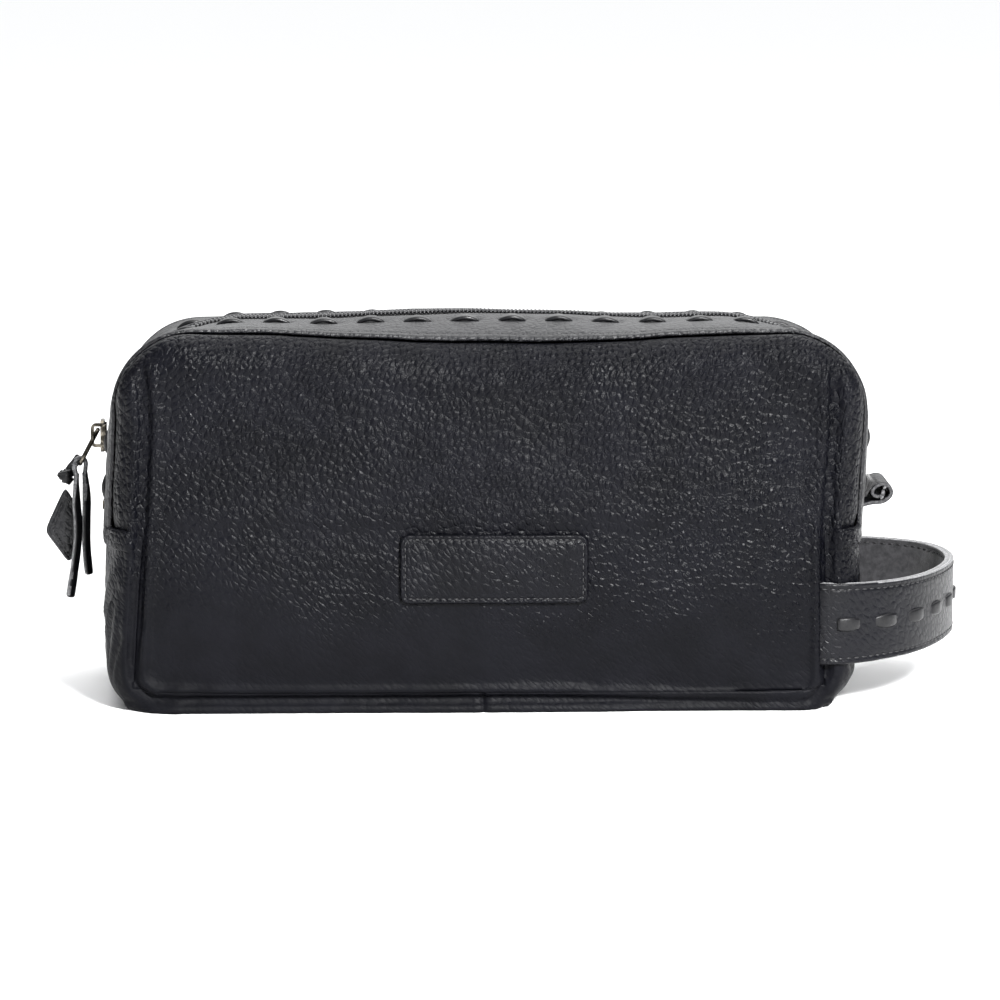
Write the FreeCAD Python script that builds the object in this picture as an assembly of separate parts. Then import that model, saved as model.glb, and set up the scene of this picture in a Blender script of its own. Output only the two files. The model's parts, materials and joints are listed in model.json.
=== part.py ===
import FreeCAD, Part
import math
import os

# A soft leather toiletry bag: two panels, a two-part gusset, laced zip strips and a side handle.
# Millimetres. +Z is up, -Y is the front and +X is the end with the handle.
# The origin is the middle of the body's footprint, on the surface that the bag stands on.

# ---- driving dimensions --------------------------------------------------------------------
PANEL_WIDTH = 250.0        # front and back panels, seam to seam
PANEL_SEAM_Y = 53.0        # the panels' side and bottom seams, from the middle of the bag
PANEL_BULGE = 4.0          # how far each panel swells beyond its seams
PANEL_TOP_Z = 122.0        # where a panel starts to roll over the top
HEIGHT = 141.5             # the crown, along the zip
END_X = 139.0              # half the length between the two ends, at the zip
CORNER_RADIUS = 40.0       # where the zip turns down the ends
FOOT_RADIUS = 15.0         # where the floor turns up the ends
FOOT_ROLL = 8.0            # the gusset's roll along the bottom seams
LEATHER = 1.6
LINING = 0.6
LINING_GAP = 0.1

STRIP_EDGE_Y = 40.0        # outer edge of each laced strip
STRIP_EDGE_Z = 135.5
STRIP_INNER_Y = 11.0       # inner edge of each laced strip
STRIP_RAISE = 0.5          # the strips' folded edges stand this proud of the panels
FOLD_Z = 67.0              # folded top edge of the gusset, at the ends
HEM_HEIGHT = 7.0           # the doubled band below that folded edge
HEM_THICKNESS = 1.2
LIP_HALF_LENGTH = 103.0    # the top run between the corners, which opens as a lip
CLEARANCE = 0.3            # between pieces that move on each other

TAPE_EDGE_Y = 15.0
TAPE_THICKNESS = 0.6
COIL_HALF_WIDTH = 3.1
COIL_HEIGHT = 2.0
COIL_GAP = 0.15            # each half of the coil stands this far off the middle

LACE_PITCH = 17.2
LACE_WIDTH = 4.0
LACE_STITCH = 9.6
LACE_THICKNESS = 1.3
LACE_Y = 21.0              # the lace's line on the strips
LACE_STAND_OFF = 0.4       # clear of the strip, which curves beneath each straight stitch
LACE_BEND_STAND_OFF = 1.0  # the same where the strip turns down the ends
LACE_START_X = 0.0         # the middle of a gap between two stitches
STRIP_CROWN_RADIUS = 136.0

PATCH_LENGTH = 66.0
PATCH_HEIGHT = 23.0
PATCH_THICKNESS = 1.2
PATCH_CORNER = 3.5
PATCH_X = 3.8
PATCH_Z = 53.5

SLIDER_Z = 95.0            # the slider rests on the left end, below the corner
SLIDER_LENGTH = 12.0
SLIDER_WIDTH = 9.0
SLIDER_PLATE = 1.2
SLIDER_POST = 1.4
SLIDER_TOP_LIMIT_Z = 98.0  # the zip is parted below this height
CROWN_WIDTH = 2.2
CROWN_LENGTH = 9.0
CROWN_RISE = 3.8

PULLER_WIRE = 1.6
PULLER_WIDTH = 8.0
PULLER_LENGTH = 16.0
PULLER_TILT = 28.0         # degrees off vertical, away from the bag

THONG_WIDTH = 3.2
THONG_THICKNESS = 1.4
TAIL_DIAMETER = 3.0

TAG_THICKNESS = 2.4
TAG_Y = 5.0                # the tag hangs behind the two tails
TAG_LACE_WIDTH = 3.0
TAG_LACE_THICKNESS = 1.6
TAG_KNOT_RADIUS = 3.4
TAG_KNOT_DEPTH = 4.8

TAB_WIDTH = 26.0
TAB_REACH = 11.0
TAB_THICKNESS = 5.2
TAB_TILT = 22.0
TAB_Z = 70.5
TAB_HINGE_X = END_X + 1.5

STRAP_WIDTH = 30.0
STRAP_Z = 32.0             # the middle of the strap's width
STRAP_LAYER = 1.6
STRAP_SWING_RADIUS = 16.0  # the sewn ends are fixed inside this distance of the hinge line
STRAP_HINGE_X = 128.0

SPAN = 500.0               # longer than the bag, for cutting

V = FreeCAD.Vector
X_AXIS = V(1, 0, 0)
Y_AXIS = V(0, 1, 0)
Z_AXIS = V(0, 0, 1)


# ---- helpers ------------------------------------------------------------------------------
def line(start, end):
    return Part.LineSegment(start, end).toShape()


def arc(start, through, end):
    return Part.Arc(start, through, end).toShape()


def extrude_closed(edges, direction):
    face = Part.Face(Part.Wire(Part.__sortEdges__(edges)))
    return face.extrude(direction)


def box(x_low, x_high, y_low, y_high, z_low, z_high):
    return Part.makeBox(x_high - x_low, y_high - y_low, z_high - z_low, V(x_low, y_low, z_low))


def joined(shapes):
    first, rest = shapes[0], shapes[1:]
    return first.multiFuse(rest).removeSplitter() if rest else first


def mirrored_back(shape):
    return shape.mirror(V(0, 0, 0), Y_AXIS)


def turned(shape, centre, axis, degrees):
    copy = shape.copy()
    copy.rotate(centre, axis, degrees)
    return copy


# ---- the bag's outer form ------------------------------------------------------------------
def end_profile(inset):
    """The form seen from one end, inset from the leather's outer face, as a solid along X."""
    half = PANEL_SEAM_Y - inset
    diagonal = 1 - math.sqrt(0.5)
    x = -SPAN / 2
    sides = []
    for side in (-1, 1):
        floor = V(x, side * (half - FOOT_ROLL), inset)
        roll = V(x, side * (half - FOOT_ROLL * diagonal), inset + FOOT_ROLL * diagonal)
        seam = V(x, side * half, inset + FOOT_ROLL)
        belly = V(x, side * (half + PANEL_BULGE), (FOOT_ROLL + PANEL_TOP_Z) / 2)
        top = V(x, side * half, PANEL_TOP_Z)
        shoulder = V(x, side * (half - 3.6), PANEL_TOP_Z + 9.4 - inset * 0.7)
        strip_edge = V(x, side * STRIP_EDGE_Y, STRIP_EDGE_Z - inset)
        sides.append((floor, strip_edge))
        sides.append([arc(floor, roll, seam), arc(seam, belly, top), arc(top, shoulder, strip_edge)])
    front_ends, front, back_ends, back = sides
    crown = arc(front_ends[1], V(x, 0, HEIGHT - inset), back_ends[1])
    floor_line = line(front_ends[0], back_ends[0])
    return extrude_closed(front + back + [crown, floor_line], V(SPAN, 0, 0))


def front_profile(inset):
    """The form seen from the front, as a solid along Y."""
    y = -SPAN / 2
    top = HEIGHT + 1.0 - inset
    radius = CORNER_RADIUS - inset
    foot = FOOT_RADIUS - inset
    corner_x, corner_z = END_X - CORNER_RADIUS, HEIGHT + 1.0 - CORNER_RADIUS
    foot_x = END_X - FOOT_RADIUS
    slant = math.sqrt(0.5)
    edges = [
        line(V(-corner_x, y, top), V(corner_x, y, top)),
        line(V(-foot_x, y, inset), V(foot_x, y, inset)),
    ]
    for side in (-1, 1):
        over = V(side * corner_x, y, top)
        corner = V(side * (corner_x + radius * slant), y, corner_z + radius * slant)
        wall_top = V(side * (END_X - inset), y, corner_z)
        wall_foot = V(side * (END_X - inset), y, FOOT_RADIUS)
        turn = V(side * (foot_x + foot * slant), y, FOOT_RADIUS - foot * slant)
        floor = V(side * foot_x, y, inset)
        edges += [arc(over, corner, wall_top), line(wall_top, wall_foot), arc(wall_foot, turn, floor)]
    return extrude_closed(edges, V(0, SPAN, 0))


def plan_profile(inset):
    """The form seen from above, with its swelling ends, as a solid along Z."""
    half = PANEL_WIDTH / 2 - inset
    far = PANEL_SEAM_Y + 20
    z = -10.0
    edges = []
    for side in (-1, 1):
        seams = [V(side * half, -PANEL_SEAM_Y, z), V(side * half, PANEL_SEAM_Y, z)]
        edges.append(arc(seams[0], V(side * (END_X + 0.6 - inset), 0, z), seams[1]))
        edges.append(line(V(-half, side * far, z), V(half, side * far, z)))
        edges.append(line(seams[0], V(side * half, -far, z)))
        edges.append(line(seams[1], V(side * half, far, z)))
    return extrude_closed(edges, V(0, 0, HEIGHT + 30))


def form(inset):
    return end_profile(inset).common(front_profile(inset)).common(plan_profile(inset))


def skin(outer_inset, inner_inset):
    return form(outer_inset).cut(form(inner_inset))


# ---- panels, gusset and lining --------------------------------------------------------------
def panel_region(seam_y, edge_y, bottom_z):
    """Where the front panel lies: the front, its roll over the top, and the ends above the gusset."""
    face = box(-SPAN, SPAN, -SPAN, -seam_y, -10, SPAN)
    wrap = box(-SPAN, SPAN, -seam_y - 1, -edge_y, bottom_z, SPAN)
    return face.fuse(wrap)


def gusset_region(seam_y, top_z, x_low, x_high):
    return box(x_low, x_high, -seam_y, seam_y, -10, top_z)


def gusset_half(leather_skin, hem_skin, side):
    reach = sorted((0.0, side * SPAN))
    wall = leather_skin.common(gusset_region(PANEL_SEAM_Y, FOLD_Z, *reach))
    ends = sorted((side * (END_X - 30), side * SPAN))
    hem = hem_skin.common(box(*ends, -PANEL_SEAM_Y + 4, PANEL_SEAM_Y - 4, FOLD_Z - HEM_HEIGHT, FOLD_Z))
    return wall.fuse(hem)


def name_patch():
    """The blank leather patch on the front, following the panel's swell."""
    low_x, high_x = PATCH_X - PATCH_LENGTH / 2, PATCH_X + PATCH_LENGTH / 2
    low_z, high_z = PATCH_Z - PATCH_HEIGHT / 2, PATCH_Z + PATCH_HEIGHT / 2
    block = box(low_x, high_x, -SPAN / 2, -PANEL_SEAM_Y, low_z, high_z)
    upright = [e for e in block.Edges if abs(e.tangentAt(e.FirstParameter).y) > 0.9]
    return skin(-PATCH_THICKNESS, 0.0).common(block.makeFillet(PATCH_CORNER, upright))


# ---- the zip and its laced strips ------------------------------------------------------------
def lip_region(y_low, y_high):
    return box(-LIP_HALF_LENGTH, LIP_HALF_LENGTH, y_low, y_high, PANEL_TOP_Z, SPAN)


def end_region(side, y_low, y_high):
    reach = sorted((side * (LIP_HALF_LENGTH + 2 * CLEARANCE), side * SPAN))
    return box(*reach, y_low, y_high, FOLD_Z, SPAN)


def zip_path(distance):
    """A point on the crown line, that far along it from the middle, with its tangent's angle."""
    side = 1 if distance >= 0 else -1
    run = abs(distance)
    flat = END_X - CORNER_RADIUS
    quarter = CORNER_RADIUS * math.pi / 2
    corner_z = HEIGHT + 1.0 - CORNER_RADIUS
    if run <= flat:
        return side * run, HEIGHT, 0.0
    if run <= flat + quarter:
        angle = (run - flat) / CORNER_RADIUS
        x = flat + CORNER_RADIUS * math.sin(angle)
        z = corner_z + CORNER_RADIUS * math.cos(angle)
        return side * x, min(z, HEIGHT), side * math.degrees(angle)
    return side * END_X, corner_z - (run - flat - quarter), side * 90.0


def lace_place(distance):
    """Where a stitch lies on its strip: its point, the path's angle and the strip's sideways tilt."""
    x, z, angle = zip_path(distance)
    tilt = math.degrees(math.asin(LACE_Y / STRIP_CROWN_RADIUS))
    crown_drop = STRIP_CROWN_RADIUS * (1 - math.cos(math.radians(tilt)))
    side = 1 if x >= 0 else -1
    on_end = abs(x) > END_X - crown_drop
    on_corner = z < HEIGHT - crown_drop and not on_end
    angle = side * 90.0 if on_end else angle
    reach = min(abs(x), END_X - crown_drop)
    return side * reach, min(z, HEIGHT - crown_drop), angle, 0.0 if on_corner else tilt


def lace_stitch(distance, side_y):
    """One raised stitch of flat lace on a strip, side_y -1 for the front strip and 1 for the back."""
    x, z, angle, tilt = lace_place(distance)
    base = STRIP_RAISE + (LACE_STAND_OFF if angle == 0.0 else LACE_BEND_STAND_OFF)
    stitch = Part.makeBox(
        LACE_STITCH, LACE_WIDTH, LACE_THICKNESS, V(-LACE_STITCH / 2, -LACE_WIDTH / 2, base)
    )
    rim = [e for e in stitch.Edges if e.CenterOfMass.z > base + LACE_THICKNESS - 0.01]
    stitch = stitch.makeFillet(LACE_THICKNESS * 0.45, rim)
    stitch.rotate(V(0, 0, 0), X_AXIS, -side_y * tilt)
    stitch.translate(V(0, side_y * LACE_Y, 0))
    stitch.rotate(V(0, 0, 0), Y_AXIS, angle)
    stitch.translate(V(x, 0, z))
    return stitch


def lace_distances():
    """Every stitch's place along the crown line, over the top and down both ends."""
    reach = END_X - CORNER_RADIUS + CORNER_RADIUS * math.pi / 2 + HEIGHT + 1 - CORNER_RADIUS - FOLD_Z
    first = LACE_START_X + LACE_PITCH / 2
    steps = range(-30, 31)
    places = [first + LACE_PITCH * step for step in steps]
    return [place for place in places if abs(place) < reach - LACE_STITCH * 0.8]


def lace(side_y, low, high):
    places = [place for place in lace_distances() if low < place < high]
    return Part.makeCompound([lace_stitch(place, side_y) for place in places])


def zip_stops(side):
    """Two small metal clips, one on each half of the coil, at the closed end of the zip."""
    clips = []
    for half in (-1, 1):
        x_low = side * (END_X + 0.6)
        ends_x = sorted((x_low, x_low + side * 0.9))
        ends_y = sorted((half * 1.2, half * 3.8))
        clips.append(box(*ends_x, *ends_y, FOLD_Z + 0.8, FOLD_Z + 3.8))
    return Part.makeCompound(clips)


# ---- the slider and what hangs on it -----------------------------------------------------------
def slider_body():
    """Two plates joined by a post, with the coil and tapes running between them."""
    low_z, high_z = SLIDER_Z - SLIDER_LENGTH / 2, SLIDER_Z + SLIDER_LENGTH / 2
    half = SLIDER_WIDTH / 2
    outer_x = -(END_X + 0.4 + CLEARANCE)
    inner_x = -(END_X - LEATHER - TAPE_THICKNESS - CLEARANCE)
    outer = box(outer_x - SLIDER_PLATE, outer_x, -half, half, low_z, high_z)
    inner = box(inner_x, inner_x + SLIDER_PLATE, -half, half, low_z, high_z)
    corners = [e for e in outer.Edges if abs(e.tangentAt(e.FirstParameter).x) > 0.9]
    outer = outer.makeFillet(2.4, corners)
    post = box(outer_x - 0.5, inner_x + 0.5, -SLIDER_POST / 2, SLIDER_POST / 2, low_z, low_z + 3.0)
    rails = []
    for side in (-1, 1):
        ends_y = sorted((side * (COIL_HALF_WIDTH + CLEARANCE), side * half))
        rails.append(box(outer_x - 0.3, outer_x + 0.7, *ends_y, low_z + 1.5, high_z - 1.5))
    return joined([outer, inner, post] + rails)


def slider_crown():
    """The arched bridge on the slider that the puller turns under."""
    base_x = -(END_X + 0.4 + CLEARANCE + SLIDER_PLATE)
    low_z, high_z = SLIDER_Z - CROWN_LENGTH / 2, SLIDER_Z + CROWN_LENGTH / 2
    block = box(base_x - CROWN_RISE, base_x, -CROWN_WIDTH / 2, CROWN_WIDTH / 2, low_z, high_z)
    edges = [e for e in block.Edges if abs(e.CenterOfMass.x - base_x + CROWN_RISE) < 0.1]
    edges = [e for e in edges if abs(e.tangentAt(e.FirstParameter).y) > 0.9]
    block = block.makeFillet(2.0, edges)
    gap = box(base_x - CROWN_RISE + 1.2, base_x + 1, -3, 3, low_z + 1.2, high_z - 1.2)
    return block.cut(gap)


def puller_pivot():
    base_x = END_X + 0.4 + CLEARANCE + SLIDER_PLATE
    return V(-(base_x + 0.4 + PULLER_WIRE / 2), 0, SLIDER_Z + CROWN_LENGTH / 2 - 2.5)


def puller_foot():
    """The middle of the wire at the puller's free end."""
    tilt = math.radians(PULLER_TILT)
    reach = PULLER_LENGTH - PULLER_WIRE
    return puller_pivot() + V(-math.sin(tilt), 0, -math.cos(tilt)) * reach


def puller():
    """A long closed loop of wire, hanging from the slider's bridge."""
    wire = PULLER_WIRE / 2
    bend = PULLER_WIDTH / 2 - wire
    straight = PULLER_LENGTH - PULLER_WIDTH
    pieces = []
    for side in (-1, 1):
        pieces.append(Part.makeCylinder(wire, straight, V(0, side * bend, -bend), V(0, 0, -1)))
    top = Part.makeTorus(bend, wire, V(0, 0, -bend), X_AXIS)
    foot = Part.makeTorus(bend, wire, V(0, 0, -bend - straight), X_AXIS)
    pieces.append(top.common(box(-5, 5, -10, 10, -bend, 10)))
    pieces.append(foot.common(box(-5, 5, -10, 10, -SPAN, -bend - straight)))
    loop = joined(pieces)
    loop.rotate(V(0, 0, 0), Y_AXIS, PULLER_TILT)
    loop.translate(puller_pivot())
    return loop


def thong_fold():
    """Where the thong is folded round the foot of the puller."""
    foot = puller_foot()
    inner = PULLER_WIRE / 2 + 0.65
    outer = inner + THONG_THICKNESS
    start = foot - Y_AXIS * (THONG_WIDTH / 2)
    ring = Part.makeCylinder(outer, THONG_WIDTH, start, Y_AXIS)
    return ring.cut(Part.makeCylinder(inner, THONG_WIDTH, start, Y_AXIS))


def tangent_route(points, name):
    """Straight runs joined by tangent arcs, each as large as its two runs allow."""
    edges = []
    radii = []
    here = points[0]
    for before, corner, after in zip(points, points[1:], points[2:]):
        into = (corner - before).normalize()
        out = (after - corner).normalize()
        turn = into.getAngle(out)
        cut = 0.45 * min(corner.distanceToPoint(before), corner.distanceToPoint(after))
        radius = cut / math.tan(turn / 2)
        start = corner - into * cut
        end = corner + out * cut
        towards = (out - into).normalize()
        centre = corner + towards * (radius / math.cos(turn / 2))
        middle = centre - towards * radius
        edges.append(line(here, start))
        edges.append(arc(start, middle, end))
        radii.append(round(radius, 1))
        here = end
    edges.append(line(here, points[-1]))
    print(name, "bend radii:", radii)
    return Part.Wire(edges)


def tube(points, diameter, name):
    path = tangent_route(points, name)
    direction = (points[1] - points[0]).normalize()
    ring = Part.Wire(Part.makeCircle(diameter / 2, points[0], direction))
    solid = path.makePipeShell([ring], True, False)
    expected = math.pi * diameter**2 / 4 * path.Length
    print(name, "length", round(path.Length, 1), "volume share", round(solid.Volume / expected, 3))
    return solid


def long_tail_route():
    foot = puller_foot()
    return [
        V(foot.x - 1.2, -2.0, foot.z - 3.1),
        V(foot.x - 1.6, -2.6, foot.z - 12.0),
        V(foot.x - 0.6, -2.7, foot.z - 24.0),
        V(foot.x - 2.0, -2.2, foot.z - 37.0),
        V(foot.x - 4.2, -2.6, foot.z - 50.0),
    ]


def short_tail_route():
    foot = puller_foot()
    return [
        V(foot.x + 1.6, 1.4, foot.z - 3.1),
        V(foot.x + 2.4, 0.6, foot.z - 11.0),
        V(foot.x + 2.0, 0.2, foot.z - 22.0),
        V(foot.x + 1.8, 0.8, foot.z - 33.0),
        V(foot.x + 2.8, 0.6, foot.z - 42.0),
    ]


def tag_corners():
    """The kite-shaped tag: top, outer corner, foot and inner corner."""
    foot = puller_foot()
    return [
        V(foot.x - 6.0, TAG_Y, foot.z - 9.0),
        V(foot.x - 14.0, TAG_Y, foot.z - 26.0),
        V(foot.x - 5.0, TAG_Y, foot.z - 38.5),
        V(foot.x + 2.6, TAG_Y, foot.z - 25.0),
    ]


def pull_tag():
    corners = tag_corners()
    edges = [line(a, b) for a, b in zip(corners, corners[1:] + corners[:1])]
    kite = extrude_closed(edges, Y_AXIS * TAG_THICKNESS)
    uprights = [e for e in kite.Edges if abs(e.tangentAt(e.FirstParameter).y) > 0.9]
    return kite.makeFillet(1.0, uprights)


def tag_lace():
    """The short lace and knot that tie the tag to the foot of the puller."""
    foot = puller_foot()
    top = tag_corners()[0]
    middle_y = TAG_Y + TAG_THICKNESS / 2
    knot_centre = V(top.x + 0.4, middle_y, top.z + TAG_KNOT_RADIUS + 0.1)
    knot = Part.makeCylinder(TAG_KNOT_RADIUS, TAG_KNOT_DEPTH, knot_centre - Y_AXIS * (TAG_KNOT_DEPTH / 2), Y_AXIS)
    knot = knot.makeFillet(TAG_KNOT_DEPTH * 0.3, [e for e in knot.Edges if e.Closed])
    half = TAG_LACE_THICKNESS / 2
    run = V(foot.x - 1.4, middle_y, foot.z + 1.0) - knot_centre
    ribbon = box(-TAG_LACE_WIDTH / 2, TAG_LACE_WIDTH / 2, -half, half, 0, run.Length)
    ribbon.rotate(V(0, 0, 0), Y_AXIS, math.degrees(math.atan2(run.x, run.z)))
    ribbon.translate(knot_centre)
    return knot.fuse(ribbon)


# ---- the zip-end tab --------------------------------------------------------------------------
def zip_end_tab():
    """A strip of leather folded over the end of the zip, standing out from the end of the bag."""
    half = TAB_THICKNESS / 2
    inner = half - LEATHER
    start = 1.8
    straight = TAB_REACH - half
    y = -TAB_WIDTH / 2
    outer_face = extrude_closed(
        [
            line(V(start, y, -half), V(straight, y, -half)),
            arc(V(straight, y, -half), V(TAB_REACH, y, 0), V(straight, y, half)),
            line(V(straight, y, half), V(start, y, half)),
            line(V(start, y, half), V(start, y, -half)),
        ],
        V(0, TAB_WIDTH, 0),
    )
    gap = box(start - 1, straight, y - 1, -y + 1, -inner, inner)
    gap = gap.fuse(Part.makeCylinder(inner, TAB_WIDTH + 2, V(straight, y - 1, 0), Y_AXIS))
    tab = outer_face.cut(gap)
    tab.rotate(V(0, 0, 0), Y_AXIS, -TAB_TILT)
    tab.translate(V(TAB_HINGE_X, 0, TAB_Z))
    return tab


# ---- the side handle ----------------------------------------------------------------------------
def strap_route():
    """The strap's middle line in plan, from the front seam out and round to the back seam."""
    return [V(126.5, -55.0, 0), V(164.0, -27.0, 0), V(176.0, 18.0, 0), V(160.0, 49.0, 0), V(126.5, 55.0, 0)]


def strap_outline(offset):
    """The strap's middle line, moved outward by offset, as a wire with rounded corners."""
    points = strap_route()
    radii = [60.0, 26.0, 20.0]
    moved = []
    for index, point in enumerate(points):
        before = (point - points[index - 1]).normalize() if index else None
        after = (points[index + 1] - point).normalize() if index < len(points) - 1 else None
        before = before or after
        after = after or before
        normals = [V(d.y, -d.x, 0) for d in (before, after)]
        middle = (normals[0] + normals[1]).normalize()
        moved.append(point + middle * (offset / middle.dot(normals[0])))
    edges = []
    here = moved[0]
    for index, radius in enumerate(radii):
        corner = moved[index + 1]
        into = (corner - moved[index]).normalize()
        out = (moved[index + 2] - corner).normalize()
        turn = into.getAngle(out)
        bend = radius + offset
        cut = bend * math.tan(turn / 2)
        start, end = corner - into * cut, corner + out * cut
        towards = (out - into).normalize()
        middle = corner + towards * (bend / math.cos(turn / 2) - bend)
        edges.append(line(here, start))
        edges.append(arc(start, middle, end))
        here = end
    edges.append(line(here, moved[-1]))
    return edges


def strap_layer(inner_offset, outer_offset):
    inner = strap_outline(inner_offset)
    outer = strap_outline(outer_offset)
    inner_wire, outer_wire = Part.Wire(inner), Part.Wire(outer)
    first = line(inner_wire.OrderedVertexes[0].Point, outer_wire.OrderedVertexes[0].Point)
    last = line(inner_wire.OrderedVertexes[-1].Point, outer_wire.OrderedVertexes[-1].Point)
    layer = extrude_closed(inner + outer + [first, last], V(0, 0, STRAP_WIDTH))
    layer.translate(V(0, 0, STRAP_Z - STRAP_WIDTH / 2))
    return layer


def swing_cylinder(radius):
    return Part.makeCylinder(radius, SPAN, V(STRAP_HINGE_X, -SPAN / 2, STRAP_Z), Y_AXIS)


def handle_end(side):
    """The strap's sewn end, which stays with the bag while the loop swings."""
    strap = strap_layer(-STRAP_LAYER, STRAP_LAYER)
    ends_y = sorted((0.0, side * SPAN))
    return strap.common(swing_cylinder(STRAP_SWING_RADIUS)).common(box(-SPAN, SPAN, *ends_y, -SPAN, SPAN))


def handle_layer(inner_offset, outer_offset):
    return strap_layer(inner_offset, outer_offset).cut(swing_cylinder(STRAP_SWING_RADIUS + CLEARANCE))


def handle_lace():
    """Raised stitches of flat lace down the middle of the strap's outer face."""
    outside = Part.Wire(strap_outline(STRAP_LAYER + 0.05))
    count = int(outside.Length // LACE_PITCH)
    margin = (outside.Length - (count - 1) * LACE_PITCH) / 2
    step = 0.5
    samples = outside.discretize(Distance=step)
    stitches = []
    for index in range(count):
        at = int((margin + index * LACE_PITCH) / step)
        if at + 1 >= len(samples):
            continue
        point, direction = samples[at], samples[at + 1] - samples[at]
        if point.x < STRAP_HINGE_X + STRAP_SWING_RADIUS + LACE_STITCH * 0.6:
            continue
        bar = Part.makeBox(
            LACE_STITCH, LACE_THICKNESS, LACE_WIDTH, V(-LACE_STITCH / 2, -LACE_THICKNESS, -LACE_WIDTH / 2)
        )
        rim = [e for e in bar.Edges if e.CenterOfMass.y < -LACE_THICKNESS + 0.01]
        bar = bar.makeFillet(LACE_THICKNESS * 0.45, rim)
        bar.rotate(V(0, 0, 0), Z_AXIS, math.degrees(math.atan2(direction.y, direction.x)))
        bar.translate(V(point.x, point.y, STRAP_Z))
        stitches.append(bar)
    return Part.makeCompound(stitches)


# ---- every node ---------------------------------------------------------------------------------
def build_nodes():
    leather = skin(0.0, LEATHER)
    hem = skin(-HEM_THICKNESS, 0.0)
    liner = skin(LEATHER + LINING_GAP, LEATHER + LINING_GAP + LINING)
    strips = skin(-STRIP_RAISE, LEATHER)
    tape = skin(LEATHER, LEATHER + TAPE_THICKNESS)
    coil = skin(LEATHER - COIL_HEIGHT, LEATHER)

    front_strip = (-STRIP_EDGE_Y + 2 * CLEARANCE, -STRIP_INNER_Y)
    front_tape = (-TAPE_EDGE_Y, -COIL_GAP)
    front_coil = (-COIL_HALF_WIDTH, -COIL_GAP)
    panel = leather.common(panel_region(PANEL_SEAM_Y, STRIP_EDGE_Y, FOLD_Z))
    liner_seam = PANEL_SEAM_Y - LEATHER - LINING_GAP
    panel_liner = liner.common(panel_region(liner_seam, STRIP_EDGE_Y, FOLD_Z))
    lip_strip = strips.common(lip_region(*front_strip))
    lip_tape = tape.common(lip_region(*front_tape))
    lip_coil = coil.common(lip_region(*front_coil))

    nodes = {
        "front_panel": panel,
        "back_panel": mirrored_back(panel),
        "left_gusset": gusset_half(leather, hem, -1),
        "right_gusset": gusset_half(leather, hem, 1),
        "front_lining": panel_liner,
        "back_lining": mirrored_back(panel_liner),
        "base_lining": liner.common(gusset_region(liner_seam, FOLD_Z, -SPAN, SPAN)),
        "name_patch": name_patch(),
        "front_zip_strip": lip_strip,
        "back_zip_strip": mirrored_back(lip_strip),
        "front_zip_tape": lip_tape,
        "back_zip_tape": mirrored_back(lip_tape),
        "front_zip_coil": lip_coil,
        "back_zip_coil": mirrored_back(lip_coil),
        "front_strip_lace": lace(-1, -LIP_HALF_LENGTH, LIP_HALF_LENGTH),
        "back_strip_lace": lace(1, -LIP_HALF_LENGTH, LIP_HALF_LENGTH),
    }
    for name, side in (("left", -1), ("right", 1)):
        strip = strips.common(end_region(side, *front_strip))
        nodes[name + "_end_front_strip"] = strip
        nodes[name + "_end_back_strip"] = mirrored_back(strip)
        half_tape = tape.common(end_region(side, *front_tape))
        half_coil = coil.common(end_region(side, *front_coil))
        if side < 0:
            parted = box(-SPAN, 0, -SLIDER_POST, SLIDER_POST, 0, SLIDER_TOP_LIMIT_Z)
            half_tape = half_tape.cut(parted)
            half_coil = half_coil.cut(parted)
        nodes[name + "_end_zip_tape"] = Part.makeCompound([half_tape, mirrored_back(half_tape)])
        nodes[name + "_end_zip_coil"] = Part.makeCompound([half_coil, mirrored_back(half_coil)])
        nodes[name + "_zip_stops"] = zip_stops(side)
        low, high = (-SPAN, -LIP_HALF_LENGTH) if side < 0 else (LIP_HALF_LENGTH, SPAN)
        stitches = [lace(-1, low, high), lace(1, low, high)]
        nodes[name + "_end_lace"] = Part.makeCompound([s for group in stitches for s in group.Solids])
    nodes["zip_slider"] = slider_body()
    nodes["slider_crown"] = slider_crown()
    nodes["zip_puller"] = puller()
    nodes["thong_fold"] = thong_fold()
    nodes["long_pull_tail"] = tube(long_tail_route(), TAIL_DIAMETER, "long_pull_tail")
    nodes["short_pull_tail"] = tube(short_tail_route(), TAIL_DIAMETER, "short_pull_tail")
    nodes["pull_tag"] = pull_tag()
    nodes["tag_lace"] = tag_lace()
    nodes["zip_end_tab"] = zip_end_tab()
    nodes["handle_outer"] = handle_layer(0.0, STRAP_LAYER)
    nodes["handle_lining"] = handle_layer(-STRAP_LAYER, 0.0)
    nodes["handle_front_end"] = handle_end(-1)
    nodes["handle_back_end"] = handle_end(1)
    nodes["handle_lace"] = handle_lace()
    return nodes


os.makedirs("parts", exist_ok=True)
for node_name, node_shape in build_nodes().items():
    solids = node_shape.Solids
    node_shape = solids[0] if len(solids) == 1 else Part.makeCompound(solids)
    print(node_name, len(solids), round(node_shape.Volume), node_shape.isValid(), node_shape.BoundBox)
    node_shape.exportStep("parts/" + node_name + ".step")
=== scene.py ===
"""A soft leather toiletry bag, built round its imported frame: looks only, in metres."""

import json
import math

import bmesh
import bpy
import numpy as np
from mathutils import Matrix, Vector, noise

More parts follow.
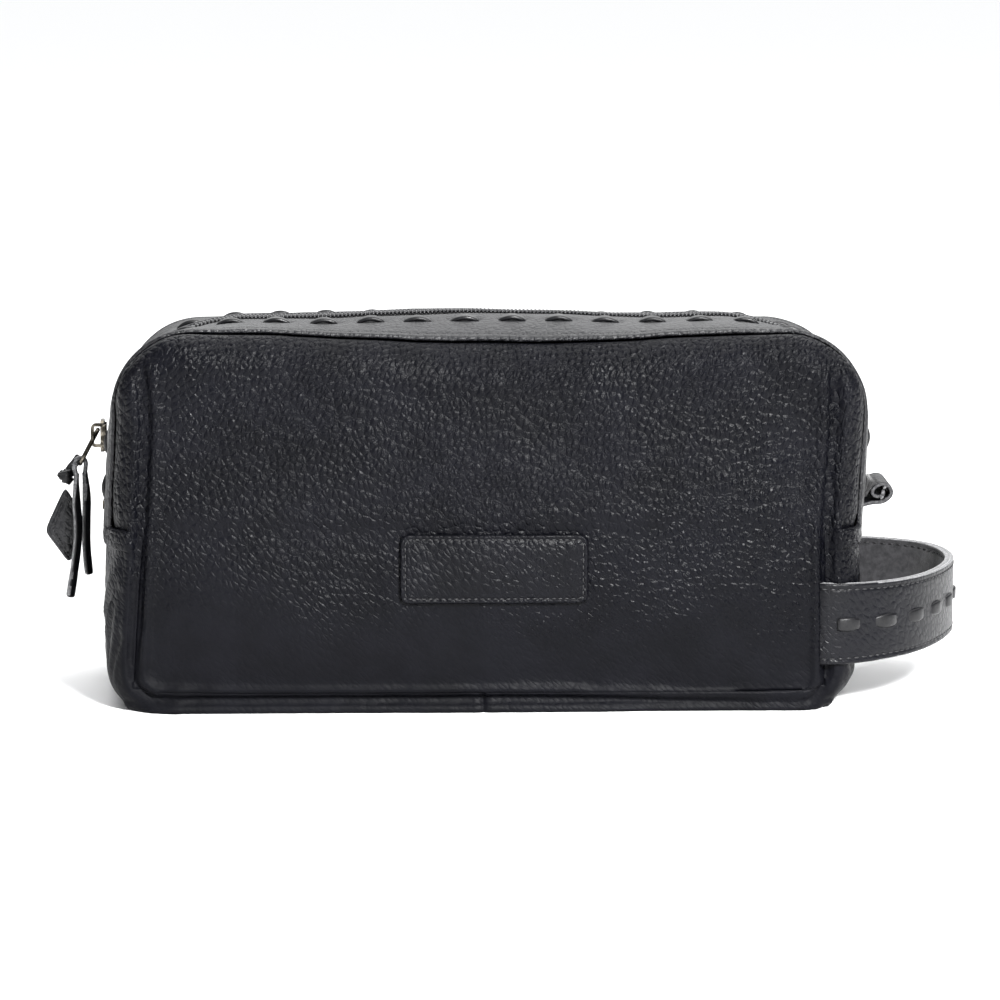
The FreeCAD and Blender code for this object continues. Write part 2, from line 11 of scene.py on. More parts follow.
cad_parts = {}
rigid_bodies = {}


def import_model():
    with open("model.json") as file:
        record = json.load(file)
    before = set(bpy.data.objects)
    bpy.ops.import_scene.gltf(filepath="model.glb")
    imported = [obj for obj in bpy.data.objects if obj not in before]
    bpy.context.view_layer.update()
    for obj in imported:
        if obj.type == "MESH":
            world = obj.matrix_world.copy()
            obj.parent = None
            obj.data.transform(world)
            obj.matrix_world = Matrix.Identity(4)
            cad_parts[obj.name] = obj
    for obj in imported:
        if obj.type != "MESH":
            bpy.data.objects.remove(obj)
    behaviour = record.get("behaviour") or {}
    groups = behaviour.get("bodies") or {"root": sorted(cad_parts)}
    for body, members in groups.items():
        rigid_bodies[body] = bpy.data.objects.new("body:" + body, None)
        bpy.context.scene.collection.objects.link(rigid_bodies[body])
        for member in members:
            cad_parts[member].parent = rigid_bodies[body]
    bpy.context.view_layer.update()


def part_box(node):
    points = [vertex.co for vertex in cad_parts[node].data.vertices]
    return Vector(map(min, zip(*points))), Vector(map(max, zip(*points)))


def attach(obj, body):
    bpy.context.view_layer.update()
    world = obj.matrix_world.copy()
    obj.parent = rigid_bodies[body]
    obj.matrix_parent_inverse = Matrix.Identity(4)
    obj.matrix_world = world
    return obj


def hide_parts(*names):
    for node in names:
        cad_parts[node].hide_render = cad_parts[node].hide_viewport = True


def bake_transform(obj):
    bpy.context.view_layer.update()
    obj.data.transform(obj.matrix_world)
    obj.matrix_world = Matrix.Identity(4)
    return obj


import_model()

MM = 0.001

# ---- places taken from the frame
SEAM_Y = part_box("left_gusset")[1].y  # the panels' side and bottom seams
FOLD_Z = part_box("left_gusset")[1].z  # the gusset's folded top edge, at the ends
SEAM_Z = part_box("front_panel")[0].z - 3.2 * MM  # the panels' bottom seam
STRIP_EDGE_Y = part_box("back_panel")[0].y  # where the panels tuck under the laced strips
STRIP_INNER_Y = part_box("back_zip_strip")[0].y  # the strips' edge beside the zip
CROWN_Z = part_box("front_zip_tape")[1].z + 1.6 * MM
END_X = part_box("right_end_zip_tape")[1].x + 1.6 * MM
LACE_Y = (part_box("back_strip_lace")[0].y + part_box("back_strip_lace")[1].y) / 2
SLIDER_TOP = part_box("zip_slider")[1].z
TAB_LOW, TAB_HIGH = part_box("zip_end_tab")
TAG_LOW, TAG_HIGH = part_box("pull_tag")
PATCH_LOW, PATCH_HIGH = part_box("name_patch")
FOOT = (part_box("thong_fold")[0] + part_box("thong_fold")[1]) / 2  # the puller's foot, where the thong is folded

# ---- the bag's soft form
SEAM_X = 125 * MM
SEAM_CORNER = 11 * MM  # the seam's rounded bottom corners
PANEL_SWELL = 4.5 * MM
PANEL_LEAN = 2.0 * MM  # how far the panels lean back towards the top
SHOULDER_Z = 124 * MM
END_SWELL = END_X - SEAM_X
LEATHER = 1.5 * MM
STRIP_OVER = 0.8 * MM  # how far the strips lie over the panels' edge
STRIP_SEWN = 3.3 * MM  # the strips' stitching, in from their outer edge
EDGE_SEWN = 1.9 * MM  # the stitching of the patch and the tag, in from their edge
SEAM_CUTS = (-2.6, -1.9, -1.2, -0.5, 0.2)  # extra rows of faces beside a seam, in millimetres
FRONT_ROUND = 4.5 * MM  # the form's own roundings, before the seams are pressed in
TOP_ROUND = 13 * MM
END_ROUND = 24 * MM
FOOT_ROUND = 5 * MM
CROWN_X = 12 * MM  # where the crown is highest
CROWN_ARCH = 6.0 * MM  # its rise there, from the strips' outer edge to the zip
CROWN_SIDE = 6.9 * MM  # how far the strips' outer edge lies below its highest line
END_DROOP = 4.0 * MM  # how much less it rises at the ends
BACK_DROP = 3.6 * MM  # how much lower it lies behind the zip
CAGE = (105 * MM, 33 * MM, 28 * MM, 105 * MM)  # the inner block that the form swells from
CAGE_MARGIN = 40 * MM
GRID = 2.1 * MM


def ease(low, high, value):
    t = np.clip((value - low) / (high - low), 0, 1)
    return t * t * (3 - 2 * t)


def bell(value, width, centre=0.0):
    """A smooth bump: 1 at its centre, and nearly nothing two widths away."""
    return np.exp(-(((value - centre) / width) ** 2))


def edge_roll(inside, roll):
    """How far a rolled edge drops away, at each distance inside the edge."""
    return roll - np.sqrt(np.maximum(roll**2 - np.maximum(roll - inside, 0) ** 2, 0))


def rounded_meet(a, b, radius):
    """How far points stand outside two walls that meet with that radius."""
    inside = np.minimum(np.maximum(a, b), -radius)
    return inside + np.hypot(np.maximum(a + radius, 0), np.maximum(b + radius, 0))


def side_lean(points):
    """The seams lean a little, as the soft bag sits."""
    height = np.clip(points[:, 2] / CROWN_Z, 0, 1)
    left = np.interp(height, [0, 0.07, 0.45, 0.75, 1], [-3.2, -3.0, 1.0, 3.4, 0.6])
    right = np.interp(height, [0, 0.07, 0.45, 0.75, 1], [0.6, 0.4, -0.4, 2.4, 2.6])
    across = np.clip(points[:, 0] / SEAM_X, -1, 1)
    return MM * np.where(across < 0, left * across**2, right * across**2)


def outside(points):
    """How far points stand outside the bag's form, before any seam or crease."""
    x = np.abs(points[:, 0])
    y = np.abs(points[:, 1])
    z = points[:, 2]
    up = np.clip((z - SEAM_Z) / (SHOULDER_Z - SEAM_Z), 0, 1)
    panel = PANEL_SWELL * np.sin(np.pi * up**0.8) * np.clip(1 - (x / SEAM_X) ** 4, 0, 1)
    lean_back = PANEL_LEAN * ease(0.3, 1.0, up)
    face = y - (SEAM_Y + panel - lean_back)
    share = np.clip(y / SEAM_Y, 0, 1)
    swell = END_SWELL * (1 - share**5) ** 0.5
    swell *= 0.80 + 0.20 * ease(0.0, 0.4, up) - 0.03 * ease(0.5, 1.0, up)
    end = x - (SEAM_X + swell)
    from_middle = ease(5 * MM, 88 * MM, np.abs(points[:, 0] - CROWN_X))
    arch = 1 - (y / STRIP_EDGE_Y) ** 2
    crown = CROWN_ARCH - 4.6 * MM * from_middle - END_DROOP * ease(86 * MM, 114 * MM, x)
    behind = BACK_DROP * ease(8 * MM, 30 * MM, points[:, 1])
    top = z - (CROWN_Z - CROWN_SIDE + 3.2 * MM * from_middle + crown * arch - behind)
    shell = rounded_meet(end, top, END_ROUND + 16 * MM * (1 - share**2))
    upward = ease(-26 * MM, 6 * MM, top - end)
    upper = rounded_meet(shell, face, FRONT_ROUND + (TOP_ROUND - FRONT_ROUND) * upward)
    foot = FOOT_ROUND * (1 + 2.0 * ease(112 * MM, 128 * MM, x))
    return rounded_meet(upper, -z, foot)


def onto_form(targets):
    """Moves points of the outer block in towards the inner block until they meet the form."""
    half_x, half_y, low_z, high_z = CAGE
    inner = np.clip(targets, [-half_x, -half_y, low_z], [half_x, half_y, high_z])
    way = targets - inner
    near = np.zeros(len(targets))
    far = np.ones(len(targets))
    for _ in range(30):
        middle = (near + far) / 2
        out = outside(inner + way * middle[:, None]) > 0
        far = np.where(out, middle, far)
        near = np.where(out, near, middle)
    return inner + way * near[:, None]


def outward(points):
    """The form's outward direction at each point."""
    step = 0.3 * MM
    slopes = []
    for axis in range(3):
        shift = np.zeros(3)
        shift[axis] = step
        slopes.append(outside(points + shift) - outside(points - shift))
    slopes = np.stack(slopes, 1)
    return slopes / np.maximum(np.linalg.norm(slopes, axis=1), 1e-12)[:, None]


def ripple(points, size, seed):
    """Smooth noise from -1 to 1 at each point, with features about that size."""
    shift = Vector((seed * 17.3, seed * 7.1, seed * 3.7))
    return np.array([noise.noise(Vector(p) / size + shift) for p in points])


def seam_distance(points):
    """How far each point is, along the leather, from the nearer panel's side and bottom seam."""
    x = np.abs(points[:, 0])
    dip = 2.4 * MM * ease(10 * MM, 105 * MM, points[:, 0])
    rise = points[:, 2] - SEAM_Z + dip
    a = x - (SEAM_X - SEAM_CORNER)
    b = SEAM_CORNER - rise
    corner = np.hypot(np.maximum(a, 0), np.maximum(b, 0)) - SEAM_CORNER
    flat = np.minimum(np.maximum(a, b), 0)
    up = np.clip((points[:, 2] - SEAM_Z) / (SHOULDER_Z - SEAM_Z), 0, 1)
    leaned_y = SEAM_Y - PANEL_LEAN * ease(0.3, 1.0, up)
    straight = np.hypot(corner + flat, np.abs(points[:, 1]) - leaned_y)
    rounded_off = 0.41 * FRONT_ROUND * ease(4 * MM, 16 * MM, rise)
    return np.sqrt(np.maximum(straight**2 - rounded_off**2, 0))


def crease(points, start, end, width, depth):
    """A pressed-in fold between two points of an end, fading at both tips."""
    a, b = np.array(start) * MM, np.array(end) * MM
    line = b - a
    share = np.clip(((points - a) @ line) / (line @ line), 0, 1)
    away = np.linalg.norm(points - (a + share[:, None] * line), axis=1)
    fade = np.sin(np.pi * np.clip(share * 0.9 + 0.1, 0, 1)) ** 0.7
    pressed = bell(away, width * MM)
    raised = 0.45 * bell(away, width * MM, 1.9 * width * MM)
    return depth * MM * fade * (raised - pressed)


# creases of the soft gusset, as start and end points in millimetres with their width and depth
END_CREASES = [
    ((-133, -47, 47), (-139, -30, 24), 2.0, 1.7),
    ((-132, -48, 45), (-136, -38, 12), 1.8, 1.5),
    ((-131, -49, 50), (-140, -22, 38), 1.7, 1.1),
    ((-136, -40, 34), (-139, -12, 18), 2.4, 1.0),
    ((-130, -50, 28), (-133, -44, 10), 1.4, 1.0),
    ((-136, -34, 98), (-137, -18, 84), 2.2, 0.7),
    ((132, -48, 47), (138, -32, 30), 1.8, 1.2),
    ((131, -49, 43), (135, -42, 22), 1.6, 1.2),
    ((135, -42, 52), (140, -20, 46), 1.8, 0.8),
    ((131, -50, 24), (134, -40, 8), 1.6, 1.0),
    ((-133, 46, 44), (-139, 24, 26), 2.0, 1.4),
    ((-132, 47, 40), (-136, 36, 14), 1.8, 1.2),
    ((133, 46, 46), (139, 26, 28), 2.0, 1.3),
    ((132, 48, 40), (136, 38, 14), 1.6, 1.1),
]


def relief(points):
    """How far the leather stands proud of the form: seams, gathers, creases and soft hollows."""
    x, y, z = points.T
    away = seam_distance(points)
    fade = 1 - ease(116 * MM, 134 * MM, z)
    height = -2.1 * MM * fade * bell(away, 1.5 * MM)
    height += 0.7 * MM * fade * bell(away, 2.2 * MM, 4.0 * MM)
    below = ease(0.5 * MM, 3 * MM, SEAM_Z - z) * ease(40 * MM, 50 * MM, np.abs(y))
    height += (2.3 * MM + 0.7 * MM * ripple(np.stack([x, 0 * y, 0 * z], 1), 38 * MM, 6)) * below
    gather = bell(away, 7 * MM) * fade
    wave = ripple(np.stack([x, y * 0.3, z], 1), 6.5 * MM, 1)
    corner = ease(88 * MM, 122 * MM, np.abs(x)) * (1 - ease(14 * MM, 34 * MM, z))
    height += gather * wave * MM * (0.35 + 0.95 * corner)
    for start, end, width, depth in END_CREASES:
        height += crease(points, start, end, width, depth)
    facing = 1 - ease(0.5 * MM, 6 * MM, away)
    soft = ripple(points, 62 * MM, 2) * 1.5 + ripple(points, 27 * MM, 3) * 0.55
    height += MM * soft * (1 - facing) * ease(2 * MM, 14 * MM, z)
    height += MM * 0.16 * ripple(points, 9 * MM, 4) * ease(2 * MM, 14 * MM, z)
    return height


def dressed(points, lift=0.0):
    """Points of the form moved out to the leather's face, leaning with it."""
    normal = outward(points)
    moved = points + normal * (relief(points) + lift)[:, None]
    moved[:, 0] += side_lean(points)
    moved[:, 2] = np.maximum(moved[:, 2], np.minimum(points[:, 2], 0.15 * MM))
    return moved


# ---- pieces cut from the form
def form_block():
    """A bmesh of the outer block, cut into a fine grid."""
    half_x, half_y, low_z, high_z = CAGE
    size = Vector((2 * (half_x + CAGE_MARGIN), 2 * (half_y + CAGE_MARGIN), high_z - low_z + 2 * CAGE_MARGIN))
    bm = bmesh.new()
    bmesh.ops.create_cube(bm, size=1.0)
    bmesh.ops.scale(bm, vec=size, verts=bm.verts)
    bmesh.ops.translate(bm, vec=(0, 0, (high_z + low_z) / 2), verts=bm.verts)
    for axis in range(3):
        along = [e for e in bm.edges if abs((e.verts[0].co - e.verts[1].co).normalized()[axis]) > 0.9]
        bmesh.ops.subdivide_edges(bm, edges=along, cuts=int(size[axis] / GRID), use_grid_fill=True)
    return bm


def grown_form():
    """The whole form as a bmesh, each face tagged 1 where it belongs to the front or back panel's face."""
    bm = form_block()
    outer = CAGE[1] + CAGE_MARGIN
    tag = bm.faces.layers.int.new("panel_face")
    for face in bm.faces:
        centre = face.calc_center_median()
        face[tag] = int(abs(abs(centre.y) - outer) < 1e-6)
    places = onto_form(np.array([v.co for v in bm.verts]))
    for vert, place in zip(bm.verts, places):
        vert.co = place
    bmesh.ops.recalc_face_normals(bm, faces=bm.faces)
    return bm


FORM = grown_form()


def cut_plane(bm, axis, where):
    normal = Vector((0, 0, 0))
    normal[axis] = 1.0
    whole = list(bm.verts) + list(bm.edges) + list(bm.faces)
    bmesh.ops.bisect_plane(bm, geom=whole, dist=1e-6, plane_co=normal * where, plane_no=normal)


def crisp_middle(bm):
    """Marks the edges where two halves meet as sharp, so that the shading runs straight over them."""
    for edge in bm.edges:
        if edge.is_boundary and all(abs(v.co.x) < 0.3 * MM for v in edge.verts):
            edge.smooth = False


def cut_from_form(cuts, keep):
    """A copy of the form, cut at planes (axis, place) and keeping the faces that keep(centre, tag) likes."""
    bm = FORM.copy()
    tag = bm.faces.layers.int["panel_face"]
    for axis, where in cuts:
        cut_plane(bm, axis, where)
    doomed = [f for f in bm.faces if not keep(f.calc_center_median(), f[tag])]
    bmesh.ops.delete(bm, geom=doomed, context="FACES")
    return bm


def coordinates(bm):
    return np.array([v.co for v in bm.verts])


def place_verts(bm, places):
    for vert, place in zip(bm.verts, places):
        vert.co = place


def finished(bm, name, *materials):
    mesh = bpy.data.meshes.new(name)
    bm.to_mesh(mesh)
    bm.free()
    for material in materials:
        mesh.materials.append(material)
    mesh.shade_smooth()
    piece = bpy.data.objects.new(name, mesh)
    bpy.context.scene.collection.objects.link(piece)
    return piece


def thickened(piece, thickness):
    """Gives a sheet its thickness, inwards from its face."""
    wall = piece.modifiers.new("wall", "SOLIDIFY")
    wall.thickness = thickness
    wall.offset = -1.0
    return piece


def softened(piece):
    rounding = piece.modifiers.new("round", "SUBSURF")
    rounding.levels = rounding.render_levels = 1
    return piece


def belongs(piece, body, slot, *nodes):
    """Puts a piece on its body, in place of those CAD nodes; the slot is not used."""
    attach(piece, body)
    if nodes:
        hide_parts(*nodes)


# ---- finishes
class Finish:
    """A node material, with short calls for the nodes that the bag's finishes share."""

    def __init__(self, name):
        self.material = bpy.data.materials.new(name)
        self.material.use_nodes = True
        self.tree = self.material.node_tree
        self.shader = self.tree.nodes["Principled BSDF"]
        self.place = self.node("ShaderNodeTexCoord").outputs["Object"]

    def node(self, kind, **settings):
        made = self.tree.nodes.new(kind)
        for key, value in settings.items():
            setattr(made, key, value)
        return made

    def join(self, source, target):
        self.tree.links.new(source, target)

    def noise(self, scale, detail=3.0, rough=0.55):
        made = self.node("ShaderNodeTexNoise")
        made.inputs["Scale"].default_value = scale
        made.inputs["Detail"].default_value = detail
        made.inputs["Roughness"].default_value = rough
        self.join(self.place, made.inputs["Vector"])
        return made.outputs["Fac"]

    def cells(self, scale, feature="F1", place=None):
        made = self.node("ShaderNodeTexVoronoi", feature=feature)
        made.inputs["Scale"].default_value = scale
        self.join(place or self.place, made.inputs["Vector"])
        return made.outputs["Distance"]

    def spread(self, value, low, high, to_low=0.0, to_high=1.0):
        made = self.node("ShaderNodeMapRange", interpolation_type="SMOOTHSTEP")
        self.join(value, made.inputs["Value"])
        limits = ("From Min", low), ("From Max", high), ("To Min", to_low), ("To Max", to_high)
        for key, number in limits:
            made.inputs[key].default_value = number
        return made.outputs["Result"]

    def sum(self, operation, a, b):
        made = self.node("ShaderNodeMath", operation=operation)
        for socket, value in zip(made.inputs, (a, b)):
            if isinstance(value, (int, float)):
                socket.default_value = value
            else:
                self.join(value, socket)
        return made.outputs["Value"]

    def add(self, a, b):
        return self.sum("ADD", a, b)

    def times(self, a, b):
        return self.sum("MULTIPLY", a, b)

    def tint(self, share, low_colour, high_colour):
        made = self.node("ShaderNodeMix", data_type="RGBA")
        made.inputs["A"].default_value = (*low_colour, 1)
        made.inputs["B"].default_value = (*high_colour, 1)
        self.join(share, made.inputs["Factor"])
        return made.outputs["Result"]

    def warped(self, amount, scale):
        """Object coordinates pushed about by noise, so that no pattern runs straight."""
        push = self.node("ShaderNodeTexNoise")
        push.inputs["Scale"].default_value = scale
        self.join(self.place, push.inputs["Vector"])
        centred = self.node("ShaderNodeVectorMath", operation="SUBTRACT")
        centred.inputs[1].default_value = (0.5, 0.5, 0.5)
        self.join(push.outputs["Color"], centred.inputs[0])
        scaled = self.node("ShaderNodeVectorMath", operation="SCALE")
        scaled.inputs["Scale"].default_value = amount
        self.join(centred.outputs[0], scaled.inputs[0])
        moved = self.node("ShaderNodeVectorMath", operation="ADD")
        self.join(self.place, moved.inputs[0])
        self.join(scaled.outputs[0], moved.inputs[1])
        return moved.outputs[0]

    def bump(self, height, distance):
        made = self.node("ShaderNodeBump")
        made.inputs["Distance"].default_value = distance
        made.inputs["Strength"].default_value = 1.0
        self.join(height, made.inputs["Height"])
        return made.outputs["Normal"]

    def set(self, **inputs):
        names = {"colour": "Base Color", "rough": "Roughness", "metal": "Metallic", "normal": "Normal"}
        names.update(specular="Specular IOR Level", sheen="Sheen Weight")
        for key, value in inputs.items():
            socket = self.shader.inputs[names[key]]
            if isinstance(value, bpy.types.NodeSocket):
                self.join(value, socket)
            elif isinstance(value, tuple):
                socket.default_value = (*value, 1)
            else:
                socket.default_value = value
        return self.material


def pebbled_leather(name, grain=1.0, gloss=0.26, specular=0.08, smooth_foot=False):
    """Near-black full-grain leather: rounded pebbles between fine creases, of uneven depth and gloss."""
    f = Finish(name)
    parts = f.node("ShaderNodeSeparateXYZ")
    f.join(f.warped(0.9 * MM, 160), parts.inputs["Vector"])
    above = f.sum("SUBTRACT", parts.outputs["Z"], 95 * MM)
    swing = f.times(f.times(above, above), 5.0)
    drawn_parts = f.node("ShaderNodeCombineXYZ")
    f.join(f.times(f.sum("SUBTRACT", parts.outputs["X"], swing), 1.10), drawn_parts.inputs["X"])
    f.join(parts.outputs["Y"], drawn_parts.inputs["Y"])
    f.join(f.times(parts.outputs["Z"], 0.85), drawn_parts.inputs["Z"])
    drawn = drawn_parts.outputs["Vector"]
    crease_side = f.spread(f.cells(400, "DISTANCE_TO_EDGE", drawn), 0.0, 0.24)
    dome = f.spread(f.cells(400, "F1", drawn), 0.05, 0.80, 1.0, 0.0)
    pebble = f.add(f.times(crease_side, 0.45), f.times(dome, 0.75))
    fine = f.spread(f.cells(1250, "DISTANCE_TO_EDGE", drawn), 0.0, 0.30)
    depth = f.spread(f.noise(24, 2.0), 0.34, 0.66, 0.50, 1.0)
    if smooth_foot:
        wavering = f.add(parts.outputs["Z"], f.times(f.noise(14, 2.0), 50 * MM))
        depth = f.times(depth, f.spread(wavering, 40 * MM, 112 * MM, 0.16, 1.0))
    height = f.times(f.add(pebble, f.times(fine, 0.16)), depth)
    height = f.add(height, f.times(f.noise(150, 3.0), 0.7))
    normal = f.bump(height, 0.56 * MM * grain)
    patchy = f.spread(f.noise(45, 4.0), 0.3, 0.7)
    colour = f.tint(patchy, (0.0016, 0.0017, 0.0027), (0.0030, 0.0031, 0.0047))
    worn = f.times(f.spread(f.noise(9, 3.0), 0.3, 0.7), f.spread(pebble, 0.2, 1.0, 0.6, 1.0))
    rough = f.spread(worn, 0.0, 1.0, gloss + 0.12, gloss)
    if smooth_foot:
        rough = f.add(rough, f.spread(parts.outputs["Z"], 12 * MM, 30 * MM, 0.24, 0.0))
    return f.set(colour=colour, rough=rough, normal=normal, specular=specular)


def lace_leather(name):
    """Smooth flat leather lace, with a faint lengthwise grain."""
    f = Finish(name)
    height = f.add(f.noise(900, 3.0), f.times(f.cells(1500), 0.5))
    colour = f.tint(f.noise(160, 3.0), (0.002, 0.002, 0.0025), (0.0045, 0.0045, 0.0055))
    rough = f.spread(f.noise(120), 0.3, 0.7, 0.32, 0.46)
    return f.set(colour=colour, rough=rough, normal=f.bump(height, 0.06 * MM), specular=0.3)


def raw_edge(name, low=(0.05, 0.05, 0.053), high=(0.20, 0.20, 0.205)):
    """The cut edge of leather: pale grey fibres pressed together."""
    f = Finish(name)
    height = f.add(f.noise(1600, 4.0, 0.7), f.noise(500, 2.0))
    colour = f.tint(f.spread(f.noise(850, 4.0, 0.7), 0.32, 0.68), low, high)
    return f.set(colour=colour, rough=0.92, normal=f.bump(height, 0.22 * MM), specular=0.25, sheen=0.25)


def suede(name):
    """The strap's inner layer: dark flesh side, with a short nap."""
    f = Finish(name)
    height = f.add(f.noise(1300, 4.0, 0.7), f.noise(260, 3.0))
    nap = f.spread(f.noise(420, 4.0, 0.65), 0.3, 0.7)
    colour = f.tint(nap, (0.010, 0.010, 0.0115), (0.028, 0.0275, 0.030))
    return f.set(colour=colour, rough=0.88, normal=f.bump(height, 0.16 * MM), specular=0.3, sheen=0.2)


def woven(name, threads, low, high, rough=0.8):
    """Plain woven cloth, threads to the metre each way."""
    f = Finish(name)
    waves = []
    for axis in ("X", "Y", "Z"):
        wave = f.node("ShaderNodeTexWave", bands_direction=axis)
        wave.inputs["Scale"].default_value = threads / 20
        wave.inputs["Distortion"].default_value = 0.6
        wave.inputs["Detail Scale"].default_value = 8.0
        f.join(f.place, wave.inputs["Vector"])
        waves.append(wave.outputs["Fac"])
    weave = f.times(f.add(waves[0], waves[1]), f.add(waves[2], 0.4))
    weave = f.add(weave, f.noise(500, 3.0))
    colour = f.tint(f.spread(weave, 0.2, 1.6), low, high)
    return f.set(colour=colour, rough=rough, normal=f.bump(weave, 0.12 * MM), specular=0.3, sheen=0.15)


def thread(name):
    f = Finish(name)
    twist = f.node("ShaderNodeTexWave", bands_direction="DIAGONAL")
    twist.inputs["Scale"].default_value = 700
    f.join(f.place, twist.inputs["Vector"])
    colour = f.tint(twist.outputs["Fac"], (0.004, 0.004, 0.005), (0.013, 0.013, 0.0145))
    return f.set(colour=colour, rough=0.5, normal=f.bump(twist.outputs["Fac"], 0.05 * MM), specular=0.5)


def coil_nylon(name):
    f = Finish(name)
    colour = f.tint(f.noise(700, 2.0), (0.010, 0.010, 0.011), (0.020, 0.020, 0.022))
    return f.set(colour=colour, rough=f.spread(f.noise(300), 0.3, 0.7, 0.28, 0.42), specular=0.55)


def antique_metal(name):
    """Dark plated zinc, rubbed lighter where it is handled."""
    f = Finish(name)
    rubbed = f.spread(f.noise(380, 4.0, 0.6), 0.42, 0.66)
    colour = f.tint(rubbed, (0.030, 0.027, 0.022), (0.22, 0.20, 0.165))
    rough = f.spread(f.noise(600, 3.0), 0.3, 0.7, 0.24, 0.44)
    return f.set(colour=colour, rough=rough, metal=1.0, normal=f.bump(f.noise(1500), 0.02 * MM))


LEATHER_FACE = pebbled_leather("black pebbled leather", smooth_foot=True)
STRIP_FACE = pebbled_leather("black strip leather", 0.60, 0.36, 0.38)
PATCH_FACE = pebbled_leather("black patch leather", 0.55, 0.30, 0.10)
STRAP_FACE = pebbled_leather("black strap leather", 0.30, 0.34, 0.17)
LACE_FACE = lace_leather("flat lace leather")
RAW_EDGE = raw_edge("raw leather edge")
DARK_EDGE = raw_edge("dyed leather edge", (0.02, 0.02, 0.022), (0.075, 0.075, 0.078))
STRAP_BACK = suede("strap flesh side")
LINING = woven("lining cloth", 2600, (0.012, 0.012, 0.013), (0.035, 0.035, 0.037))
TAPE = woven("zip tape", 4200, (0.006, 0.006, 0.0065), (0.018, 0.018, 0.019), 0.72)
THREAD = thread("black thread")
COIL = coil_nylon("nylon coil")
METAL = antique_metal("antique plating")


# ---- paths over the form
class Path:
    """Evenly spaced places on a line, with the way along it, outward and across it."""

    def __init__(self, places, outwards, spacing):
        lengths = np.linalg.norm(np.diff(places, axis=0), axis=1)
        run = np.concatenate([[0], np.cumsum(lengths)])
        count = max(3, int(round(run[-1] / spacing)) + 1)
        even = np.linspace(0, run[-1], count)
        self.run = even
        self.places = np.stack([np.interp(even, run, places[:, k]) for k in range(3)], 1)
        up = np.stack([np.interp(even, run, outwards[:, k]) for k in range(3)], 1)
        self.along = np.gradient(self.places, axis=0)
        self.along /= np.linalg.norm(self.along, axis=1)[:, None]
        up -= (up * self.along).sum(1)[:, None] * self.along
        self.up = up / np.linalg.norm(up, axis=1)[:, None]
        self.across = np.cross(self.up, self.along)

    def part(self, chosen):
        """The same path with only some of its places."""
        other = object.__new__(Path)
        for key, value in self.__dict__.items():
            setattr(other, key, value[chosen])
        return other

    def at(self, distance):
        """(place, along, across, up) that far along the path."""
        def read(rows):
            return Vector([float(np.interp(distance, self.run, rows[:, k])) for k in range(3)])
        return read(self.places), read(self.along), read(self.across), read(self.up)


def crown_path(y, lift, spacing=0.6 * MM):
    """Over the top and down both ends of the bag, at that distance from the middle, where run is 0."""
    far_x = CAGE[0] + CAGE_MARGIN
    far_z = CAGE[3] + CAGE_MARGIN
    rise = np.arange(FOLD_Z, far_z, 1.0 * MM)
    over = np.arange(-far_x, far_x + 0.5 * MM, 1.0 * MM)
    left = np.stack([np.full(len(rise), -far_x), np.full(len(rise), y), rise], 1)
    top = np.stack([over, np.full(len(over), y), np.full(len(over), far_z)], 1)
    right = left[::-1] * [-1, 1, 1]
    targets = np.concatenate([left, top, right])
    for _ in range(4):
        found = onto_form(targets)
        targets[:, 1] += y - found[:, 1]
    path = Path(dressed(found, lift), outward(found), spacing)
    middle = int(np.argmin(np.abs(path.places[:, 0]) + (path.places[:, 2] < 0.1)))
    path.run = path.run - path.run[middle]
    return path


def half(path, side):
    return path.part(path.run * side >= -0.4 * MM)


# ---- sweeps, stitches and laces
def rounded_section(width, thickness, corner_steps=3):
    """A flat bar's outline, as points (across, up) with rounded edges, anticlockwise."""
    radius = thickness / 2
    points = []
    for side in (1, -1):
        for step in range(corner_steps * 2 + 1):
            angle = math.pi * (step / (corner_steps * 2) - 0.5) + (0 if side > 0 else math.pi)
            points.append((side * (width / 2 - radius) + radius * math.cos(angle), radius * math.sin(angle)))
    return np.array(points)


def swept(path, section, sizes=None, shifts=None, closed=False):
    """A bmesh of the section swept along the path, scaled by sizes and moved by shifts (across, up)."""
    count, around = len(path.places), len(section)
    bm = bmesh.new()
    rows = count + 1 if closed else count
    bmesh.ops.create_grid(bm, x_segments=around, y_segments=rows - 1, size=1.0)
    sizes = np.ones((count, 2)) if sizes is None else sizes
    shifts = np.zeros((count, 2)) if shifts is None else shifts
    for vert in bm.verts:
        turn = int(round((vert.co.x + 1) / 2 * around)) % around
        step = int(round((vert.co.y + 1) / 2 * (rows - 1))) % count
        flat = section[turn] * sizes[step] + shifts[step]
        vert.co = path.places[step] + path.across[step] * flat[0] + path.up[step] * flat[1]
    bmesh.ops.remove_doubles(bm, verts=bm.verts, dist=1e-7)
    if not closed:
        rims = [e for e in bm.edges if e.is_boundary]
        bmesh.ops.holes_fill(bm, edges=rims, sides=0)
    bmesh.ops.recalc_face_normals(bm, faces=bm.faces)
    return bm


def frame_matrix(place, along, across, up, sizes):
    columns = [along.normalized() * sizes[0], across.normalized() * sizes[1], up.normalized() * sizes[2]]
    matrix = Matrix.Identity(4)
    for index, column in enumerate(columns):
        for row in range(3):
            matrix[row][index] = column[row]
    matrix.translation = place
    return matrix


def stitch_row(bm, path, pitch=3.1 * MM, long=2.3 * MM, wide=0.62 * MM, high=0.30 * MM, start=0.0):
    """Adds a row of machine stitches along a path to a bmesh."""
    low, high_run = path.run[0] + start, path.run[-1] - start
    count = int((high_run - low) // pitch)
    for index in range(count + 1):
        place, along, across, up = path.at(low + index * pitch)
        matrix = frame_matrix(place, along, across, up, (long / 2, wide / 2, high))
        bmesh.ops.create_uvsphere(bm, u_segments=6, v_segments=4, radius=1.0, matrix=matrix)


